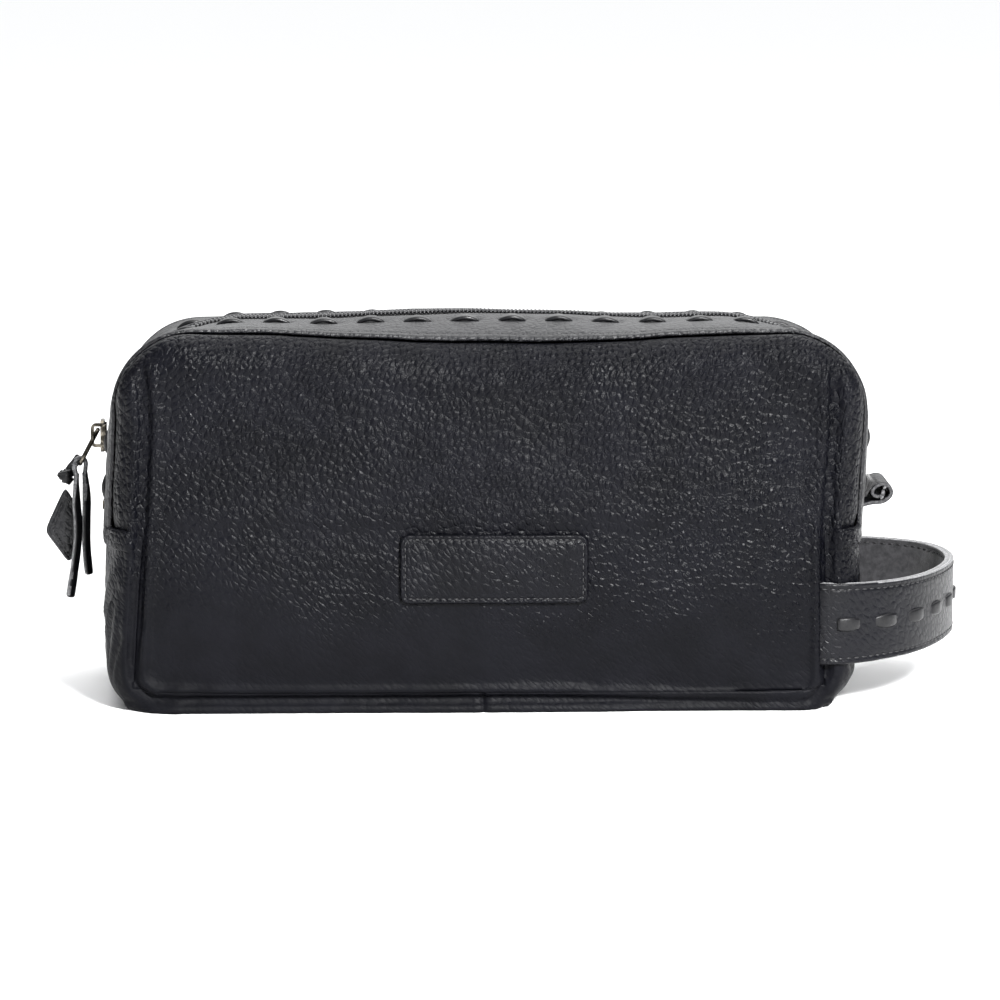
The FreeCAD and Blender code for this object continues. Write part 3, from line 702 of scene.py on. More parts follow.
LACE_PITCH = 17.2 * MM
LACE_SHOWN = 10.8 * MM
LACE_SECTION = rounded_section(4.4 * MM, 1.5 * MM)
LACE_START = 2.6 * MM


def lace_wave(run, start=LACE_START):
    """How far each place along a lace is from the middle of the nearest stitch."""
    phase = (run - start - LACE_PITCH / 2) / LACE_PITCH
    return np.abs(phase - np.round(phase)) * LACE_PITCH


def running_lace(path, start=LACE_START, rise=1.15 * MM, sink=2.1 * MM, wide=1.0):
    """One flat lace in running stitch: a low dome where it shows, narrow where it dives through its slots."""
    away = lace_wave(path.run, start)
    half_shown = LACE_SHOWN / 2
    dome = np.cos(np.clip(away / half_shown, 0, 1) * math.pi / 2)
    hidden = ease(half_shown - 1.2 * MM, half_shown + 1.4 * MM, away)
    uneven = ripple(path.places, 15 * MM, 8)
    lift = rise * dome**0.75 - 0.55 * MM * (1 - dome) - (sink - 0.55 * MM) * hidden
    lift += 0.15 * MM * uneven
    narrow = 0.50 + 0.50 * dome**0.5 + 0.05 * uneven
    sizes = np.stack([wide * narrow, 0.85 + 0.30 * dome], 1)
    shifts = np.stack([0.25 * MM * uneven, lift], 1)
    return swept(path, LACE_SECTION, sizes, shifts)


# ---- panels and gusset
def leather_panel(side, name):
    """The front (-1) or back (1) panel: its face, its roll over the top, and the ends above the gusset."""
    tuck_y, tuck_z = STRIP_EDGE_Y - 2.5 * MM, FOLD_Z - 2.5 * MM

    def keep(centre, panel_face):
        on_side = centre.y * side
        return on_side > 0 and (panel_face or (on_side > tuck_y and centre.z > tuck_z))

    cuts = [(1, side * tuck_y), (2, tuck_z), (1, side * STRIP_EDGE_Y), (1, side * (STRIP_EDGE_Y + 1.2 * MM))]
    cuts += [(1, side * (SEAM_Y + gap * MM)) for gap in SEAM_CUTS]
    bm = cut_from_form(cuts, keep)
    places = coordinates(bm)
    tucked = 1 - ease(STRIP_EDGE_Y - 0.5 * MM, STRIP_EDGE_Y + 3.2 * MM, np.abs(places[:, 1]))
    lift = -1.7 * MM * tucked * ease(FOLD_Z - 4 * MM, FOLD_Z, places[:, 2])
    below_fold = 1 - ease(FOLD_Z + 1 * MM, FOLD_Z + 4 * MM, places[:, 2])
    lift -= 0.9 * MM * below_fold * (seam_distance(places) > 5 * MM)
    place_verts(bm, dressed(places, lift))
    return thickened(finished(bm, name, LEATHER_FACE, DARK_EDGE), LEATHER)


def gusset_half(side, name):
    """Half of the gusset: the floor from the middle seam, and the end up to its folded edge."""
    hem_z = FOLD_Z - 7 * MM

    def keep(centre, panel_face):
        return not panel_face and centre.z < FOLD_Z and centre.x * side > 0

    cuts = [(0, 0.0), (2, FOLD_Z)] + [(2, FOLD_Z - gap * MM) for gap in (0.4, 1.0, 2.0)]
    cuts += [(2, hem_z), (2, hem_z - 0.8 * MM)] + [(0, side * gap * MM) for gap in (0.8, 1.8, 3.4)]
    cuts += [(1, way * (SEAM_Y + gap * MM)) for way in (-1, 1) for gap in SEAM_CUTS]
    bm = cut_from_form(cuts, keep)
    places = coordinates(bm)
    x, y, z = places.T
    hem = ease(hem_z - 0.9 * MM, hem_z + 0.2 * MM, z)
    edge = np.clip((FOLD_Z - z) / (1.0 * MM), 0, 1)
    folded = 1.25 * MM * hem - 1.1 * MM * (1 - np.sqrt(1 - (1 - edge) ** 2)) * (z > hem_z)
    near_seam = ease(1 * MM, 6 * MM, seam_distance(places))
    lift = folded * near_seam
    lift -= 0.7 * MM * bell(x, 0.9 * MM) - 0.2 * MM * bell(np.abs(x), 2 * MM, 3 * MM)
    place_verts(bm, dressed(places, lift))
    crisp_middle(bm)
    return thickened(finished(bm, name, LEATHER_FACE, DARK_EDGE), LEATHER)


def strip_half(side_y, side_x, name):
    """Half of a laced strip: from the middle of the bag over the top and down one end."""
    outer, inner = STRIP_EDGE_Y + STRIP_OVER, STRIP_INNER_Y
    low_z = FOLD_Z - 2.0 * MM

    def keep(centre, panel_face):
        across = centre.y * side_y
        return inner < across < outer and centre.z > low_z and centre.x * side_x > 0

    steps = (0.25, 0.7, 1.4, 2.6, 3.3, 4.0)
    cuts = [(0, 0.0), (2, low_z), (1, side_y * outer), (1, side_y * inner)]
    cuts += [(1, side_y * (outer - step * MM)) for step in steps]
    cuts += [(1, side_y * (inner + step * MM)) for step in steps[:3]]
    cuts += [(1, side_y * (LACE_Y + step * MM)) for step in (-4, -2, 0, 2, 4)]
    bm = cut_from_form(cuts, keep)
    places = coordinates(bm)
    across = np.abs(places[:, 1])
    edge = np.minimum(outer - across, across - inner)
    rounding = edge_roll(edge, 1.3 * MM)
    sewn = bell(outer - across, 0.55 * MM, STRIP_SEWN)
    path = crown_path(side_y * LACE_Y, 0.0)
    nearest = np.array([int(np.argmin(((path.places - p) ** 2).sum(1))) for p in places])
    away = lace_wave(path.run[nearest])
    tip = away - LACE_SHOWN / 2
    slot = bell(tip, 1.2 * MM, -0.4 * MM) * bell(across, 2.4 * MM, LACE_Y)
    pulled = bell(tip, 1.4 * MM, 2.2 * MM) * bell(across, 4 * MM, LACE_Y)
    beside = bell(across, 3.4 * MM, LACE_Y) * (1 - ease(3 * MM, 6 * MM, away))
    lift = 1.0 * MM - rounding - 0.28 * MM * sewn - 0.9 * MM * slot + 0.45 * MM * pulled - 0.35 * MM * beside
    lift += 0.35 * MM * bell(across, 6 * MM, 29 * MM)
    place_verts(bm, dressed(places, lift))
    crisp_middle(bm)
    return thickened(finished(bm, name, STRIP_FACE, DARK_EDGE), LEATHER)


def parting(places):
    """How far each side of the open zip stands off its middle, below the slider at the left end."""
    below = ease(0, 14 * MM, SLIDER_TOP - places[:, 2])
    return 1.1 * MM * below * (places[:, 0] < 0)


def tape_half(side_y, side_x, name):
    inner, outer = 0.35 * MM, 15 * MM

    def keep(centre, panel_face):
        return inner < centre.y * side_y < outer and centre.z > FOLD_Z - 1 * MM and centre.x * side_x > 0

    cuts = [(0, 0.0), (2, FOLD_Z - 1 * MM), (1, side_y * inner), (1, side_y * outer), (1, side_y * 4 * MM)]
    bm = cut_from_form(cuts, keep)
    places = coordinates(bm)
    laid = dressed(places, -0.75 * MM)
    near_middle = 1 - ease(3 * MM, 9 * MM, np.abs(laid[:, 1]))
    laid[:, 1] += side_y * parting(laid) * near_middle
    laid[:, 0] -= 0.5 * parting(laid) * near_middle
    place_verts(bm, laid)
    crisp_middle(bm)
    return thickened(finished(bm, name, TAPE), 0.5 * MM)


COIL_PITCH = 1.45 * MM


def coil_half(side_y, side_x, name):
    """One row of the nylon coil: a rounded turn every pitch, the two rows half a pitch apart."""
    path = half(crown_path(side_y * 1.65 * MM, 0.35 * MM), side_x)
    bm = bmesh.new()
    first = math.ceil(path.run[0] / COIL_PITCH)
    last = math.floor(path.run[-1] / COIL_PITCH)
    for index in range(first, last):
        run = (index + (0.25 if side_y > 0 else 0.75)) * COIL_PITCH
        place, along, across, up = path.at(run)
        place.y += side_y * float(parting(np.array([place]))[0])
        if place.x > 0 and TAB_LOW.z - 2 * MM < place.z < TAB_HIGH.z + 5 * MM:
            continue  # crushed flat under the folded end of the tape
        matrix = frame_matrix(place, along, across, up, (0.62 * MM, 1.75 * MM, 0.95 * MM))
        bmesh.ops.create_uvsphere(bm, u_segments=8, v_segments=6, radius=1.0, matrix=matrix)
    return finished(bm, name, COIL)


def strip_thread(side_y, side_x, name):
    """The stitch row along the strip's folded outer edge."""
    path = half(crown_path(side_y * (STRIP_EDGE_Y + STRIP_OVER - STRIP_SEWN), 0.80 * MM), side_x)
    bm = bmesh.new()
    stitch_row(bm, path)
    return finished(bm, name, THREAD)


def lace_half(side_y, side_x, name):
    path = half(crown_path(side_y * LACE_Y, 0.75 * MM, spacing=0.55 * MM), side_x)
    return finished(running_lace(path), name, LACE_FACE)


for side, name in ((-1, "front"), (1, "back")):
    panel = leather_panel(side, name + "_panel_leather")
    belongs(panel, "bag", "bag_leather", name + "_panel")
    for end, end_name in ((-1, "left"), (1, "right")):
        label = name + "_" + end_name
        strip = strip_half(side, end, label + "_strip_leather")
        tape = tape_half(side, end, label + "_zip_tape_cloth")
        coil = coil_half(side, end, label + "_zip_coil_turns")
        lace = lace_half(side, end, label + "_strip_lace_leather")
        row = strip_thread(side, end, label + "_strip_thread")
        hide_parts(name + "_zip_strip", f"{end_name}_end_{name}_strip")
        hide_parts(name + "_zip_tape", end_name + "_end_zip_tape")
        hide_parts(name + "_zip_coil", end_name + "_end_zip_coil")
        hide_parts(name + "_strip_lace", end_name + "_end_lace")
        slots = ("bag_leather", "zip_tape", "zip_coil", "lace_leather", "lace_leather")
        for piece, slot_name in zip((strip, tape, coil, lace, row), slots):
            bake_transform(piece)

for side, name in ((-1, "left"), (1, "right")):
    gusset = gusset_half(side, name + "_gusset_leather")
    belongs(gusset, "bag", "bag_leather", name + "_gusset")

# ---- linings
LINING_DEPTH = LEATHER + 0.5 * MM


def lining_piece(name, keep, cuts):
    bm = cut_from_form(cuts, keep)
    place_verts(bm, dressed(coordinates(bm), -LINING_DEPTH))
    piece = thickened(finished(bm, name, LINING), 0.5 * MM)
    belongs(piece, "bag", "lining_cloth")
    return piece


def panel_lining(side, name):
    def keep(centre, panel_face):
        on_side = centre.y * side
        return on_side > 0 and (panel_face or (on_side > STRIP_EDGE_Y and centre.z > FOLD_Z))

    piece = lining_piece(name + "_cloth", keep, [(1, side * STRIP_EDGE_Y), (2, FOLD_Z)])
    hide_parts(name)


def base_lining():
    def keep(centre, panel_face):
        return not panel_face and centre.z < FOLD_Z

    piece = lining_piece("base_lining_cloth", keep, [(2, FOLD_Z)])
    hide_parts("base_lining")


panel_lining(-1, "front_lining")
panel_lining(1, "back_lining")
base_lining()


# ---- stitching on the ends
def end_path(side, z, lift):
    """Across one end at that height, from near the front seam to near the back seam."""
    far_x = side * (CAGE[0] + CAGE_MARGIN)
    across = np.arange(-66 * MM, 66.1 * MM, 1.0 * MM)
    targets = np.stack([np.full(len(across), far_x), across, np.full(len(across), z)], 1)
    found = onto_form(targets)
    found = found[np.abs(found[:, 1]) < SEAM_Y - 3.5 * MM]
    return Path(dressed(found, lift), outward(found), 0.8 * MM)


for side, name in ((-1, "left"), (1, "right")):
    bm = bmesh.new()
    stitch_row(bm, end_path(side, FOLD_Z - 4.6 * MM, 1.15 * MM))
    belongs(finished(bm, name + "_hem_thread", THREAD), "bag", "lace_leather")


# ---- front patch
PATCH_CORNER = 3.6 * MM


def front_points(flat):
    """Points of the form's front face at each (x, z)."""
    far_y = -(CAGE[1] + CAGE_MARGIN)
    x, z = flat[:, 0].copy(), flat[:, 1].copy()
    for _ in range(4):
        found = onto_form(np.stack([x, np.full(len(x), far_y), z], 1))
        x += flat[:, 0] - found[:, 0]
        z += flat[:, 1] - found[:, 2]
    return found


def patch_edge(flat, half_x, half_z):
    """How far each place is inside the patch's rounded outline."""
    a = np.abs(flat[:, 0]) - (half_x - PATCH_CORNER)
    b = np.abs(flat[:, 1]) - (half_z - PATCH_CORNER)
    return PATCH_CORNER - np.hypot(np.maximum(a, 0), np.maximum(b, 0)) - np.minimum(np.maximum(a, b), 0)


def front_patch():
    half_x = (PATCH_HIGH.x - PATCH_LOW.x) / 2 + 1.0 * MM
    half_z = (PATCH_HIGH.z - PATCH_LOW.z) / 2 + 1.1 * MM
    middle = np.array([(PATCH_HIGH.x + PATCH_LOW.x) / 2, (PATCH_HIGH.z + PATCH_LOW.z) / 2])
    bm = bmesh.new()
    bmesh.ops.create_grid(bm, x_segments=120, y_segments=44, size=1.0)
    flat = coordinates(bm)[:, :2] * [half_x, half_z]
    over = np.maximum(-patch_edge(flat, half_x, half_z), 0)
    centre = np.sign(flat) * ([half_x - PATCH_CORNER, half_z - PATCH_CORNER])
    away = flat - centre
    flat -= away / np.maximum(np.linalg.norm(away, axis=1), 1e-9)[:, None] * over[:, None]
    inside = np.maximum(patch_edge(flat, half_x, half_z), 0)
    found = front_points(flat + middle)
    sewn = 0.42 * MM * bell(inside, 0.5 * MM, EDGE_SEWN)
    cushion = 0.25 * MM * ease(2.4 * MM, 7 * MM, inside)
    place_verts(bm, dressed(found, 1.35 * MM - edge_roll(inside, 0.9 * MM) - sewn + cushion))
    piece = thickened(finished(bm, "front_patch", PATCH_FACE, DARK_EDGE), 1.2 * MM)
    belongs(piece, "bag", "bag_leather", "name_patch")
    border = []
    reach_x, reach_z, corner = half_x - EDGE_SEWN, half_z - EDGE_SEWN, PATCH_CORNER - 1.6 * MM
    for turn, (sx, sz) in enumerate(((1, 1), (-1, 1), (-1, -1), (1, -1))):
        for step in range(7):
            angle = math.radians(90 * turn + 15 * step)
            border.append((
                sx * (reach_x - corner) + corner * math.cos(angle),
                sz * (reach_z - corner) + corner * math.sin(angle),
            ))
    border.append(border[0])
    border = np.array(border)
    even = Path(np.c_[border, np.zeros(len(border))], np.tile([0.0, 0, 1], (len(border), 1)), 0.6 * MM)
    found = front_points(even.places[:, :2] + middle)
    path = Path(dressed(found, 1.1 * MM), outward(found), 0.6 * MM)
    bm = bmesh.new()
    stitch_row(bm, path, pitch=2.35 * MM, long=1.8 * MM, wide=0.55 * MM, high=0.26 * MM)
    belongs(finished(bm, "patch_thread", THREAD), "bag", "lace_leather")


front_patch()


# ---- lines through control points
def smooth_line(points, steps=24):
    """Places on a smooth spline that has those control points."""
    data = bpy.data.curves.new("route", "CURVE")
    data.dimensions = "3D"
    data.resolution_u = steps
    spline = data.splines.new("NURBS")
    spline.points.add(len(points) - 1)
    for point, place in zip(spline.points, points):
        point.co = (*place, 1.0)
    spline.order_u = 3
    spline.use_endpoint_u = True
    holder = bpy.data.objects.new("route", data)
    mesh = bpy.data.meshes.new_from_object(holder)
    places = np.array([v.co for v in mesh.vertices])
    bpy.data.meshes.remove(mesh)
    bpy.data.objects.remove(holder)
    bpy.data.curves.remove(data)
    return places


# ---- side handle
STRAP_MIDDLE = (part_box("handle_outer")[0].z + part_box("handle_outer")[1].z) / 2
STRAP_ROUTE = [
    (121.5, -51.0, 0.0), (129.5, -55.0, 0.0), (155.0, -39.0, 0.0), (171.0, -13.0, 0.2), (179.5, 18.0, 0.5),
    (173.0, 45.0, 0.9), (149.0, 54.0, 1.2), (129.5, 56.0, 1.2), (121.5, 51.0, 1.2),
]
STRAP_HALF = 15 * MM
STRAP_SEWN = 2.1 * MM  # its stitching, in from the edge
STRAP_STEPS = (0.0, 0.35, 0.9, 1.6, 2.1, 2.6, 3.4, 5.0, 8.0, 11.0, 13.0, 14.4)


def strap_path(lift):
    route = [(x * MM, y * MM, z * MM + STRAP_MIDDLE) for x, y, z in STRAP_ROUTE]
    places = smooth_line(route)
    along = np.gradient(places, axis=0)
    out = np.cross(along, [0, 0, 1.0])
    out /= np.linalg.norm(out, axis=1)[:, None]
    return Path(places + out * lift, out, 1.0 * MM)


def layer_section(thickness, groove):
    """Round one layer of the strap: (across, up), the face first, with grooves where it is sewn."""
    inside = np.array(STRAP_STEPS) * MM
    up = thickness / 2 - edge_roll(inside, 0.35 * MM) - groove * bell(inside, 0.5 * MM, STRAP_SEWN)
    face = list(zip(STRAP_HALF - inside, up))
    face += [(-across, height) for across, height in reversed(face)]
    reach = STRAP_HALF - 0.1 * MM
    return np.array(face + [(across, -thickness / 2) for across in (-reach, -7 * MM, 7 * MM, reach)])


def strap_taper(path):
    """The strap narrows from its sewn ends to its bend."""
    share = np.sin(math.pi * np.clip(path.run / path.run[-1], 0, 1))
    return 1 - 0.09 * share


def side_kinds(bm, path, ends=False):
    """Gives the second material to the faces that look mostly across the path, and to its ends if asked."""
    for face in bm.faces:
        centre = np.array(face.calc_center_median())
        nearest = int(np.argmin(((path.places - centre) ** 2).sum(1)))
        looks = abs(float(np.dot(np.array(face.normal), path.across[nearest])))
        face.material_index = int(looks > 0.72 or (ends and len(face.verts) > 4))


def strap_layer(name, lift, thickness, groove, turned, *materials):
    path = strap_path(lift)
    section = layer_section(thickness, groove)
    if turned:
        section = section * [1, -1]
    wrinkle = ripple(path.places * [1, 1, 0.2], 3.2 * MM, 21)
    bent = np.linalg.norm(np.gradient(path.along, axis=0), axis=1) / (1.0 * MM)
    shifts = np.zeros((len(path.run), 2))
    shifts[:, 1] = 0.16 * MM * wrinkle * ease(0.006 * 1000, 0.030 * 1000, bent)
    sizes = np.stack([strap_taper(path), np.ones(len(path.run))], 1)
    bm = swept(path, section, sizes, shifts)
    side_kinds(bm, path)
    return finished(bm, name, *materials)


def side_handle():
    faces = (STRAP_FACE, RAW_EDGE), (STRAP_BACK, RAW_EDGE)
    outer = strap_layer("handle_outer_leather", 0.85 * MM, 1.7 * MM, 0.22 * MM, False, *faces[0])
    inner = strap_layer("handle_inner_leather", -0.85 * MM, 1.6 * MM, 0.2 * MM, True, *faces[1])
    lace_way = strap_path(1.75 * MM)
    lace_way = lace_way.part((lace_way.run > 8 * MM) & (lace_way.run < lace_way.run[-1] - 8 * MM))
    bm = running_lace(lace_way, 3.2 * MM, rise=0.25 * MM, sink=1.3 * MM, wide=1.15)
    lace = finished(bm, "handle_lace_leather", LACE_FACE)
    bm = bmesh.new()
    for lift in (1.62 * MM, -1.62 * MM):
        for across in (-1, 1):
            edge = strap_path(lift)
            reach = across * (STRAP_HALF * strap_taper(edge) - STRAP_SEWN)
            edge.places = edge.places + edge.across * reach[:, None]
            if lift < 0:
                edge.up = -edge.up
            stitch_row(bm, edge, start=3 * MM)
    rows = finished(bm, "handle_thread", THREAD)
    slots = ("bag_leather", "strap_suede", "lace_leather", "lace_leather")
    for piece, slot_name in zip((outer, inner, lace, rows), slots):
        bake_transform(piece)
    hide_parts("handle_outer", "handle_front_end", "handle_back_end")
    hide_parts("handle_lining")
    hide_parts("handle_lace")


side_handle()


# ---- zip pull: thong, tails and tag
def thong_section(width, thickness):
    half_width, half_up, corner = width / 2, thickness / 2, 0.22 * MM
    top = [(half_width, half_up - corner), (half_width - corner, half_up), (-half_width + corner, half_up)]
    top.append((-half_width, half_up - corner))
    return np.array(top + [(-a, -b) for a, b in top])


def thong(name, path, width, thickness, tips=True):
    sizes = np.ones((len(path.run), 2))
    sizes[:, 0] += 0.08 * ripple(path.places, 6 * MM, 31)
    sizes[:, 1] += 0.10 * ripple(path.places, 5 * MM, 32)
    if tips:
        sizes[-1] *= (0.80, 0.72)
    bm = swept(path, thong_section(width, thickness), sizes)
    side_kinds(bm, path, ends=True)
    return softened(finished(bm, name, LACE_FACE, RAW_EDGE))


def turned_ups(path_places, first, last, start=0.0, end=1.0):
    """Outward directions that turn in plan from one bearing to another along a hanging thong, in degrees."""
    share = np.linspace(0, 1, len(path_places))
    bearing = np.radians(first + (last - first) * ease(start, end, share))
    return np.stack([np.sin(bearing), -np.cos(bearing), np.zeros(len(bearing))], 1)


def pull_tail(name, node, route, diameter, bearings):
    places = smooth_line([(FOOT.x + x * MM, y * MM, FOOT.z + z * MM) for x, y, z in route])
    ups = turned_ups(places, *bearings)
    path = Path(places, ups, 0.9 * MM)
    piece = thong(name, path, diameter, 2.0 * MM)
    belongs(piece, "pull_tails", "lace_leather", node)


# routes of the two tails, in millimetres from the puller's foot
LONG_ROUTE = [
    (-1.2, -2.0, -3.1), (-1.6, -2.6, -12.0), (-0.6, -2.7, -24.0), (-2.0, -2.2, -37.0), (-4.2, -2.6, -50.0),
]
SHORT_ROUTE = [(1.6, 1.4, -3.1), (2.4, 0.6, -11.0), (2.0, 0.2, -22.0), (1.8, 0.8, -33.0), (2.8, 0.6, -42.0)]
pull_tail("long_tail_thong", "long_pull_tail", LONG_ROUTE, 3.1 * MM, (-90, -138, 0.0, 0.3))
pull_tail("short_tail_thong", "short_pull_tail", SHORT_ROUTE, 3.1 * MM, (85, 42, 0.0, 0.3))


def thong_loop():
    """The thong where it is doubled over the puller's foot, down to where its tails part."""
    radius = 2.1 * MM
    turn = np.radians(np.linspace(0, 180, 16))
    arch = np.stack([radius * np.cos(turn), 0.9 * MM * np.cos(turn), radius * np.sin(turn)], 1)
    right = np.array([[1.6, 1.4, -5.0], [1.7, 1.4, -3.6], [1.9, 1.2, -2.0]]) * MM
    left = np.array([[-1.9, -1.6, -2.0], [-1.4, -1.9, -3.6], [-1.25, -2.0, -5.0]]) * MM
    places = np.concatenate([right, arch, left]) + np.array([FOOT.x, 0, FOOT.z])
    over = np.stack([np.cos(turn), 0 * turn, np.sin(turn)], 1)
    outs = np.concatenate([np.tile([1.0, 0, 0], (3, 1)), over, np.tile([-1.0, 0, 0], (3, 1))])
    piece = thong("thong_loop", Path(places, outs, 0.6 * MM), 3.3 * MM, 1.7 * MM, tips=False)
    belongs(piece, "puller", "lace_leather", "thong_fold")


thong_loop()

TAG_CORNERS = ((-6.0, -9.0), (-14.0, -26.0), (-5.0, -38.5), (2.6, -25.0))


def kite_tag():
    """Two kite-shaped leather faces sewn back to back round their edge."""
    middle_y = (TAG_LOW.y + TAG_HIGH.y) / 2
    thick = TAG_HIGH.y - TAG_LOW.y
    outline = np.array([(FOOT.x + x * MM, FOOT.z + z * MM) for x, z in TAG_CORNERS])
    bm = bmesh.new()
    bmesh.ops.create_grid(bm, x_segments=34, y_segments=34, size=1.0)
    u, v = coordinates(bm)[:, :2].T / 2 + 0.5
    flat = (outline[1] * (1 - u)[:, None] + outline[2] * u[:, None]) * (1 - v)[:, None]
    flat += (outline[0] * (1 - u)[:, None] + outline[3] * u[:, None]) * v[:, None]
    middle = outline.mean(0)
    tip = (np.abs(u * 2 - 1) * np.abs(v * 2 - 1)) ** 6
    flat = middle + (flat - middle) * (1 - 0.09 * tip)[:, None]
    inside = np.full(len(flat), 1.0)
    for a, b in zip(outline, np.roll(outline, -1, 0)):
        line = (b - a) / np.linalg.norm(b - a)
        inside = np.minimum(inside, np.abs((flat - a) @ np.array([-line[1], line[0]])))
    rounded = edge_roll(inside, 0.6 * MM)
    sewn = 0.30 * MM * bell(inside, 0.5 * MM, EDGE_SEWN)
    soft = 0.45 * MM * ease(2.2 * MM, 6 * MM, inside)
    soft += 0.25 * MM * ripple(np.c_[flat, flat[:, :1]], 5 * MM, 41)
    front_y = middle_y - thick / 2 + rounded + sewn - soft
    place_verts(bm, np.stack([flat[:, 0], front_y, flat[:, 1]], 1))
    bmesh.ops.recalc_face_normals(bm, faces=bm.faces)
    if sum(f.normal.y for f in bm.faces) > 0:
        bmesh.ops.reverse_faces(bm, faces=bm.faces)
    piece = thickened(finished(bm, "kite_tag_leather", STRIP_FACE, RAW_EDGE), thick)
    piece.modifiers["wall"].material_offset_rim = 1
    bm = bmesh.new()
    corners = [Vector((FOOT.x + x * MM, 0, FOOT.z + z * MM)) for x, z in TAG_CORNERS]
    centre = sum(corners, Vector()) / 4
    for y, out in ((TAG_LOW.y - 0.02 * MM, -1), (TAG_HIGH.y + 0.02 * MM, 1)):
        loop = [c + (centre - c).normalized() * 3.2 * MM for c in corners]
        for a, b in zip(loop, loop[1:] + loop[:1]):
            places = np.array([a.lerp(b, t) for t in np.linspace(0.04, 0.96, 12)])
            places[:, 1] = y
            path = Path(places, np.tile([0.0, out, 0.0], (12, 1)), 0.5 * MM)
            stitch_row(bm, path, pitch=2.0 * MM, long=1.5 * MM, wide=0.5 * MM, high=0.26 * MM)
    belongs(piece, "tag", "bag_leather", "pull_tag")
    belongs(finished(bm, "kite_tag_thread", THREAD), "tag", "lace_leather")
    return middle_y


def tag_tie(middle_y):
    """The lace that ties the tag to the puller, with its knot."""
    knot = Vector((FOOT.x - 5.6 * MM, middle_y, FOOT.z - 5.5 * MM))
    run = [(-5.6, 0, -5.5), (-4.2, 0, -2.5), (-2.2, 0, -0.6), (-0.4, -0.6, 2.2)]
    places = smooth_line([(FOOT.x + x * MM, middle_y + y * MM, FOOT.z + z * MM) for x, y, z in run])
    ups = np.tile([-0.5, -0.86, 0.0], (len(places), 1))
    ribbon = thong("tag_lace_ribbon", Path(places, ups, 0.7 * MM), 3.2 * MM, 1.5 * MM)
    belongs(ribbon, "tag", "lace_leather", "tag_lace")
    for index, (tilt, size, shift) in enumerate(((15, 2.35, 0.7), (-38, 2.5, -0.6), (80, 2.2, 0.0))):
        turn = np.radians(np.linspace(0, 360, 25))[:-1]
        lean = math.radians(tilt)
        ring = np.stack([np.cos(turn), np.sin(turn) * 0.85, np.zeros(24)], 1) * size * MM
        leaning = [[math.cos(lean), 0, math.sin(lean)], [0, 1, 0], [-math.sin(lean), 0, math.cos(lean)]]
        tilted = ring @ np.array(leaning)
        across = np.array([math.sin(-lean), 0, math.cos(lean)]) * shift * MM
        places = tilted + across + np.array(knot)
        path = object.__new__(Path)
        path.places = places
        path.along = np.roll(places, -1, 0) - np.roll(places, 1, 0)
        path.along /= np.linalg.norm(path.along, axis=1)[:, None]
        out = tilted / np.linalg.norm(tilted, axis=1)[:, None]
        out -= (out * path.along).sum(1)[:, None] * path.along
        path.up = out / np.linalg.norm(out, axis=1)[:, None]
        path.across = np.cross(path.up, path.along)
        bm = swept(path, thong_section(2.9 * MM, 1.3 * MM), closed=True)
        side_kinds(bm, path)
        turn_piece = softened(finished(bm, f"tag_knot_turn_{index + 1}", LACE_FACE, RAW_EDGE))
        belongs(turn_piece, "tag", "lace_leather")


tag_tie(kite_tag())


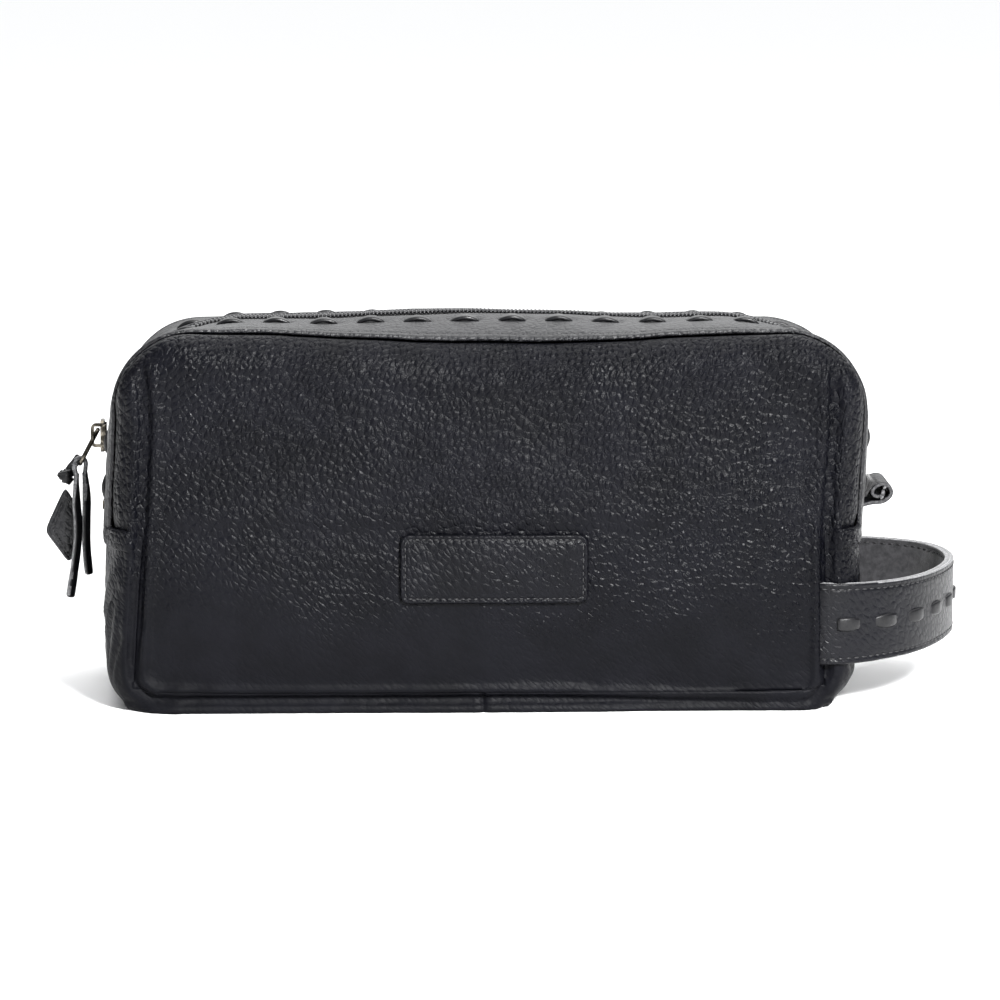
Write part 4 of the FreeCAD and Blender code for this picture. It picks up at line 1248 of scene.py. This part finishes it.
# ---- zip-end tab
def zip_end_tab():
    """A strip of leather folded over the end of the zip, with its fold held open by its own stiffness."""
    lean = math.radians(24)
    start = Vector((TAB_LOW.x + 0.2 * MM, 0, (TAB_LOW.z + TAB_HIGH.z) / 2 - 1.5 * MM))

    def leaned(a, b):
        """The place that is a millimetres out along the leaning tab and b above it."""
        x, z = a * math.cos(lean) - b * math.sin(lean), a * math.sin(lean) + b * math.cos(lean)
        return start.x + x * MM, 0.0, start.z + z * MM

    loop = [
        (-0.4, -1.3), (3.0, -1.7), (7.2, -3.6), (11.6, -2.0), (11.2, 2.4), (6.9, 3.4), (4.3, 1.5),
        (5.4, -1.0), (8.8, -1.0), (8.6, 0.9),
    ]
    places = smooth_line([leaned(a, b) for a, b in loop], 10)
    along = np.gradient(places, axis=0)
    outs = np.cross([0, 1.0, 0], along)
    path = Path(places, outs / np.linalg.norm(outs, axis=1)[:, None], 0.5 * MM)
    half = (TAB_HIGH.y - TAB_LOW.y) / 2
    section = []
    for inside in (0.0, 0.3, 1.0, 2.0, 2.5, 3.0, 5.0, 9.0):
        dip = {0.0: 0.3, 2.5: 0.2}.get(inside, 0.0)  # its rounded edge and its sewn line
        section.append((half - inside * MM, (0.75 - dip) * MM))
    section += [(-a, b) for a, b in reversed(section)]
    section += [(-a, -b) for a, b in section]
    bm = swept(path, np.array(section))
    side_kinds(bm, path)
    tab = finished(bm, "zip_end_tab_leather", STRIP_FACE, DARK_EDGE)
    belongs(tab, "end_tab", "bag_leather", "zip_end_tab")
    bm = bmesh.new()
    under = np.array([math.sin(lean), 0, -math.cos(lean)])
    for away, lift in ((3.0, 1.75), (5.4, 2.6)):
        row = np.array([leaned(away, 0)] * 30) + under * lift * MM
        row[:, 1] = np.linspace(-11, 11, 30) * MM
        stitch_row(bm, Path(row, np.tile(under, (30, 1)), 0.6 * MM))
    belongs(finished(bm, "zip_end_tab_thread", THREAD), "end_tab", "lace_leather")
    leaves = bmesh.new()
    for step, (low, lift, reach) in enumerate(((1.6, 3.9, 7.4), (1.9, 5.0, 6.2))):
        row = [(low, 1.4 + step * 1.0), (3.0, 2.2 + step * 1.1), (4.8, lift - 0.3), (reach, lift)]
        line = smooth_line([leaned(a, b) for a, b in row], 8)
        outs = np.cross([0, 1.0, 0], np.gradient(line, axis=0)) * -1
        bit = swept(Path(line, outs, 0.6 * MM), thong_section((25 - step) * MM, 0.9 * MM))
        mesh = bpy.data.meshes.new("leaf")
        bit.to_mesh(mesh)
        bit.free()
        leaves.from_mesh(mesh)
        bpy.data.meshes.remove(mesh)
    belongs(finished(leaves, "zip_end_tape_leaves", TAPE), "end_tab", "zip_tape")
    bm = bmesh.new()
    for a, b in ((7.2, -1.6), (8.3, 0.0), (9.6, 1.4)):
        for y, out in ((TAB_LOW.y, -1), (TAB_HIGH.y, 1)):
            place = Vector(leaned(a, b)) + Vector((0, y + out * 0.25 * MM, 0))
            ways = Vector((0.7, 0, 0.7)), Vector((-0.7, 0, 0.7)), Vector((0, out, 0))
            matrix = frame_matrix(place, *ways, (0.85 * MM, 0.5 * MM, 0.45 * MM))
            bmesh.ops.create_uvsphere(bm, u_segments=8, v_segments=6, radius=1.0, matrix=matrix)
    belongs(finished(bm, "zip_end_tab_ties", RAW_EDGE), "end_tab", "zip_tape")


zip_end_tab()


# ---- zip metal
for node in ("zip_slider", "slider_crown", "zip_puller", "left_zip_stops", "right_zip_stops"):
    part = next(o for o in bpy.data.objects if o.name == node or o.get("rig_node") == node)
    part.data.materials.clear()
    part.data.materials.append(METAL)

# ---- stage, lights and camera
def stage():
    bm = bmesh.new()
    bmesh.ops.create_grid(bm, x_segments=2, y_segments=2, size=20.0)
    plain = Finish("plain floor")
    floor = finished(bm, "floor", plain.set(colour=(0.90, 0.90, 0.90), rough=0.9, specular=0.1))


def soft_light(name, place, width, height, power):
    """A rectangular lamp that looks at the middle of the bag."""
    data = bpy.data.lights.new(name, "AREA")
    data.shape = "RECTANGLE"
    data.size, data.size_y = width, height
    data.energy = power
    lamp = bpy.data.objects.new(name, data)
    lamp.location = place
    lamp.rotation_euler = (Vector((0, 0, 80 * MM)) - Vector(place)).to_track_quat("-Z", "Y").to_euler()
    bpy.context.scene.collection.objects.link(lamp)


def studio():
    bpy.context.scene.view_settings.view_transform = "Standard"
    world = bpy.data.worlds.new("studio")
    world.use_nodes = True
    air = world.node_tree.nodes["Background"].inputs
    air["Color"].default_value = (0.86, 0.93, 1.0, 1)
    air["Strength"].default_value = 0.12
    bpy.context.scene.world = world
    data = bpy.data.lights.new("ceiling", "SUN")
    data.energy = 3.4
    data.angle = math.radians(75)
    sky = bpy.data.objects.new("ceiling", data)
    sky.rotation_euler = (math.radians(-24), math.radians(6), 0)
    bpy.context.scene.collection.objects.link(sky)
    soft_light("key", (0.55, -1.35, 0.95), 0.34, 0.22, 84)
    soft_light("overhead", (0.1, -0.1, 1.5), 1.2, 0.5, 6)
    soft_light("left_high", (-1.2, -0.6, 0.8), 0.3, 0.5, 4)
    soft_light("behind", (0, 2.1, 1.0), 3.0, 1.2, 16)


VIEW_WIDTH = 0.361  # how much of the bag's plane the view takes in


def camera():
    data = bpy.data.cameras.new("camera")
    elevation, yaw, distance = math.radians(8.5), math.radians(-1.4), 1.6
    target = Vector((6.0 * MM, -SEAM_Y, 78 * MM))
    level = math.cos(elevation)
    back = Vector((math.sin(yaw) * level, -math.cos(yaw) * level, math.sin(elevation)))
    eye = bpy.data.objects.new("camera", data)
    eye.location = target + back * distance
    eye.rotation_euler = (-back).to_track_quat("-Z", "Y").to_euler()
    data.sensor_width = 36.0
    data.lens = 36.0 * distance / VIEW_WIDTH
    data.clip_start, data.clip_end = 0.05, 50
    bpy.context.scene.collection.objects.link(eye)
    bpy.context.scene.camera = eye


stage()
studio()
camera()
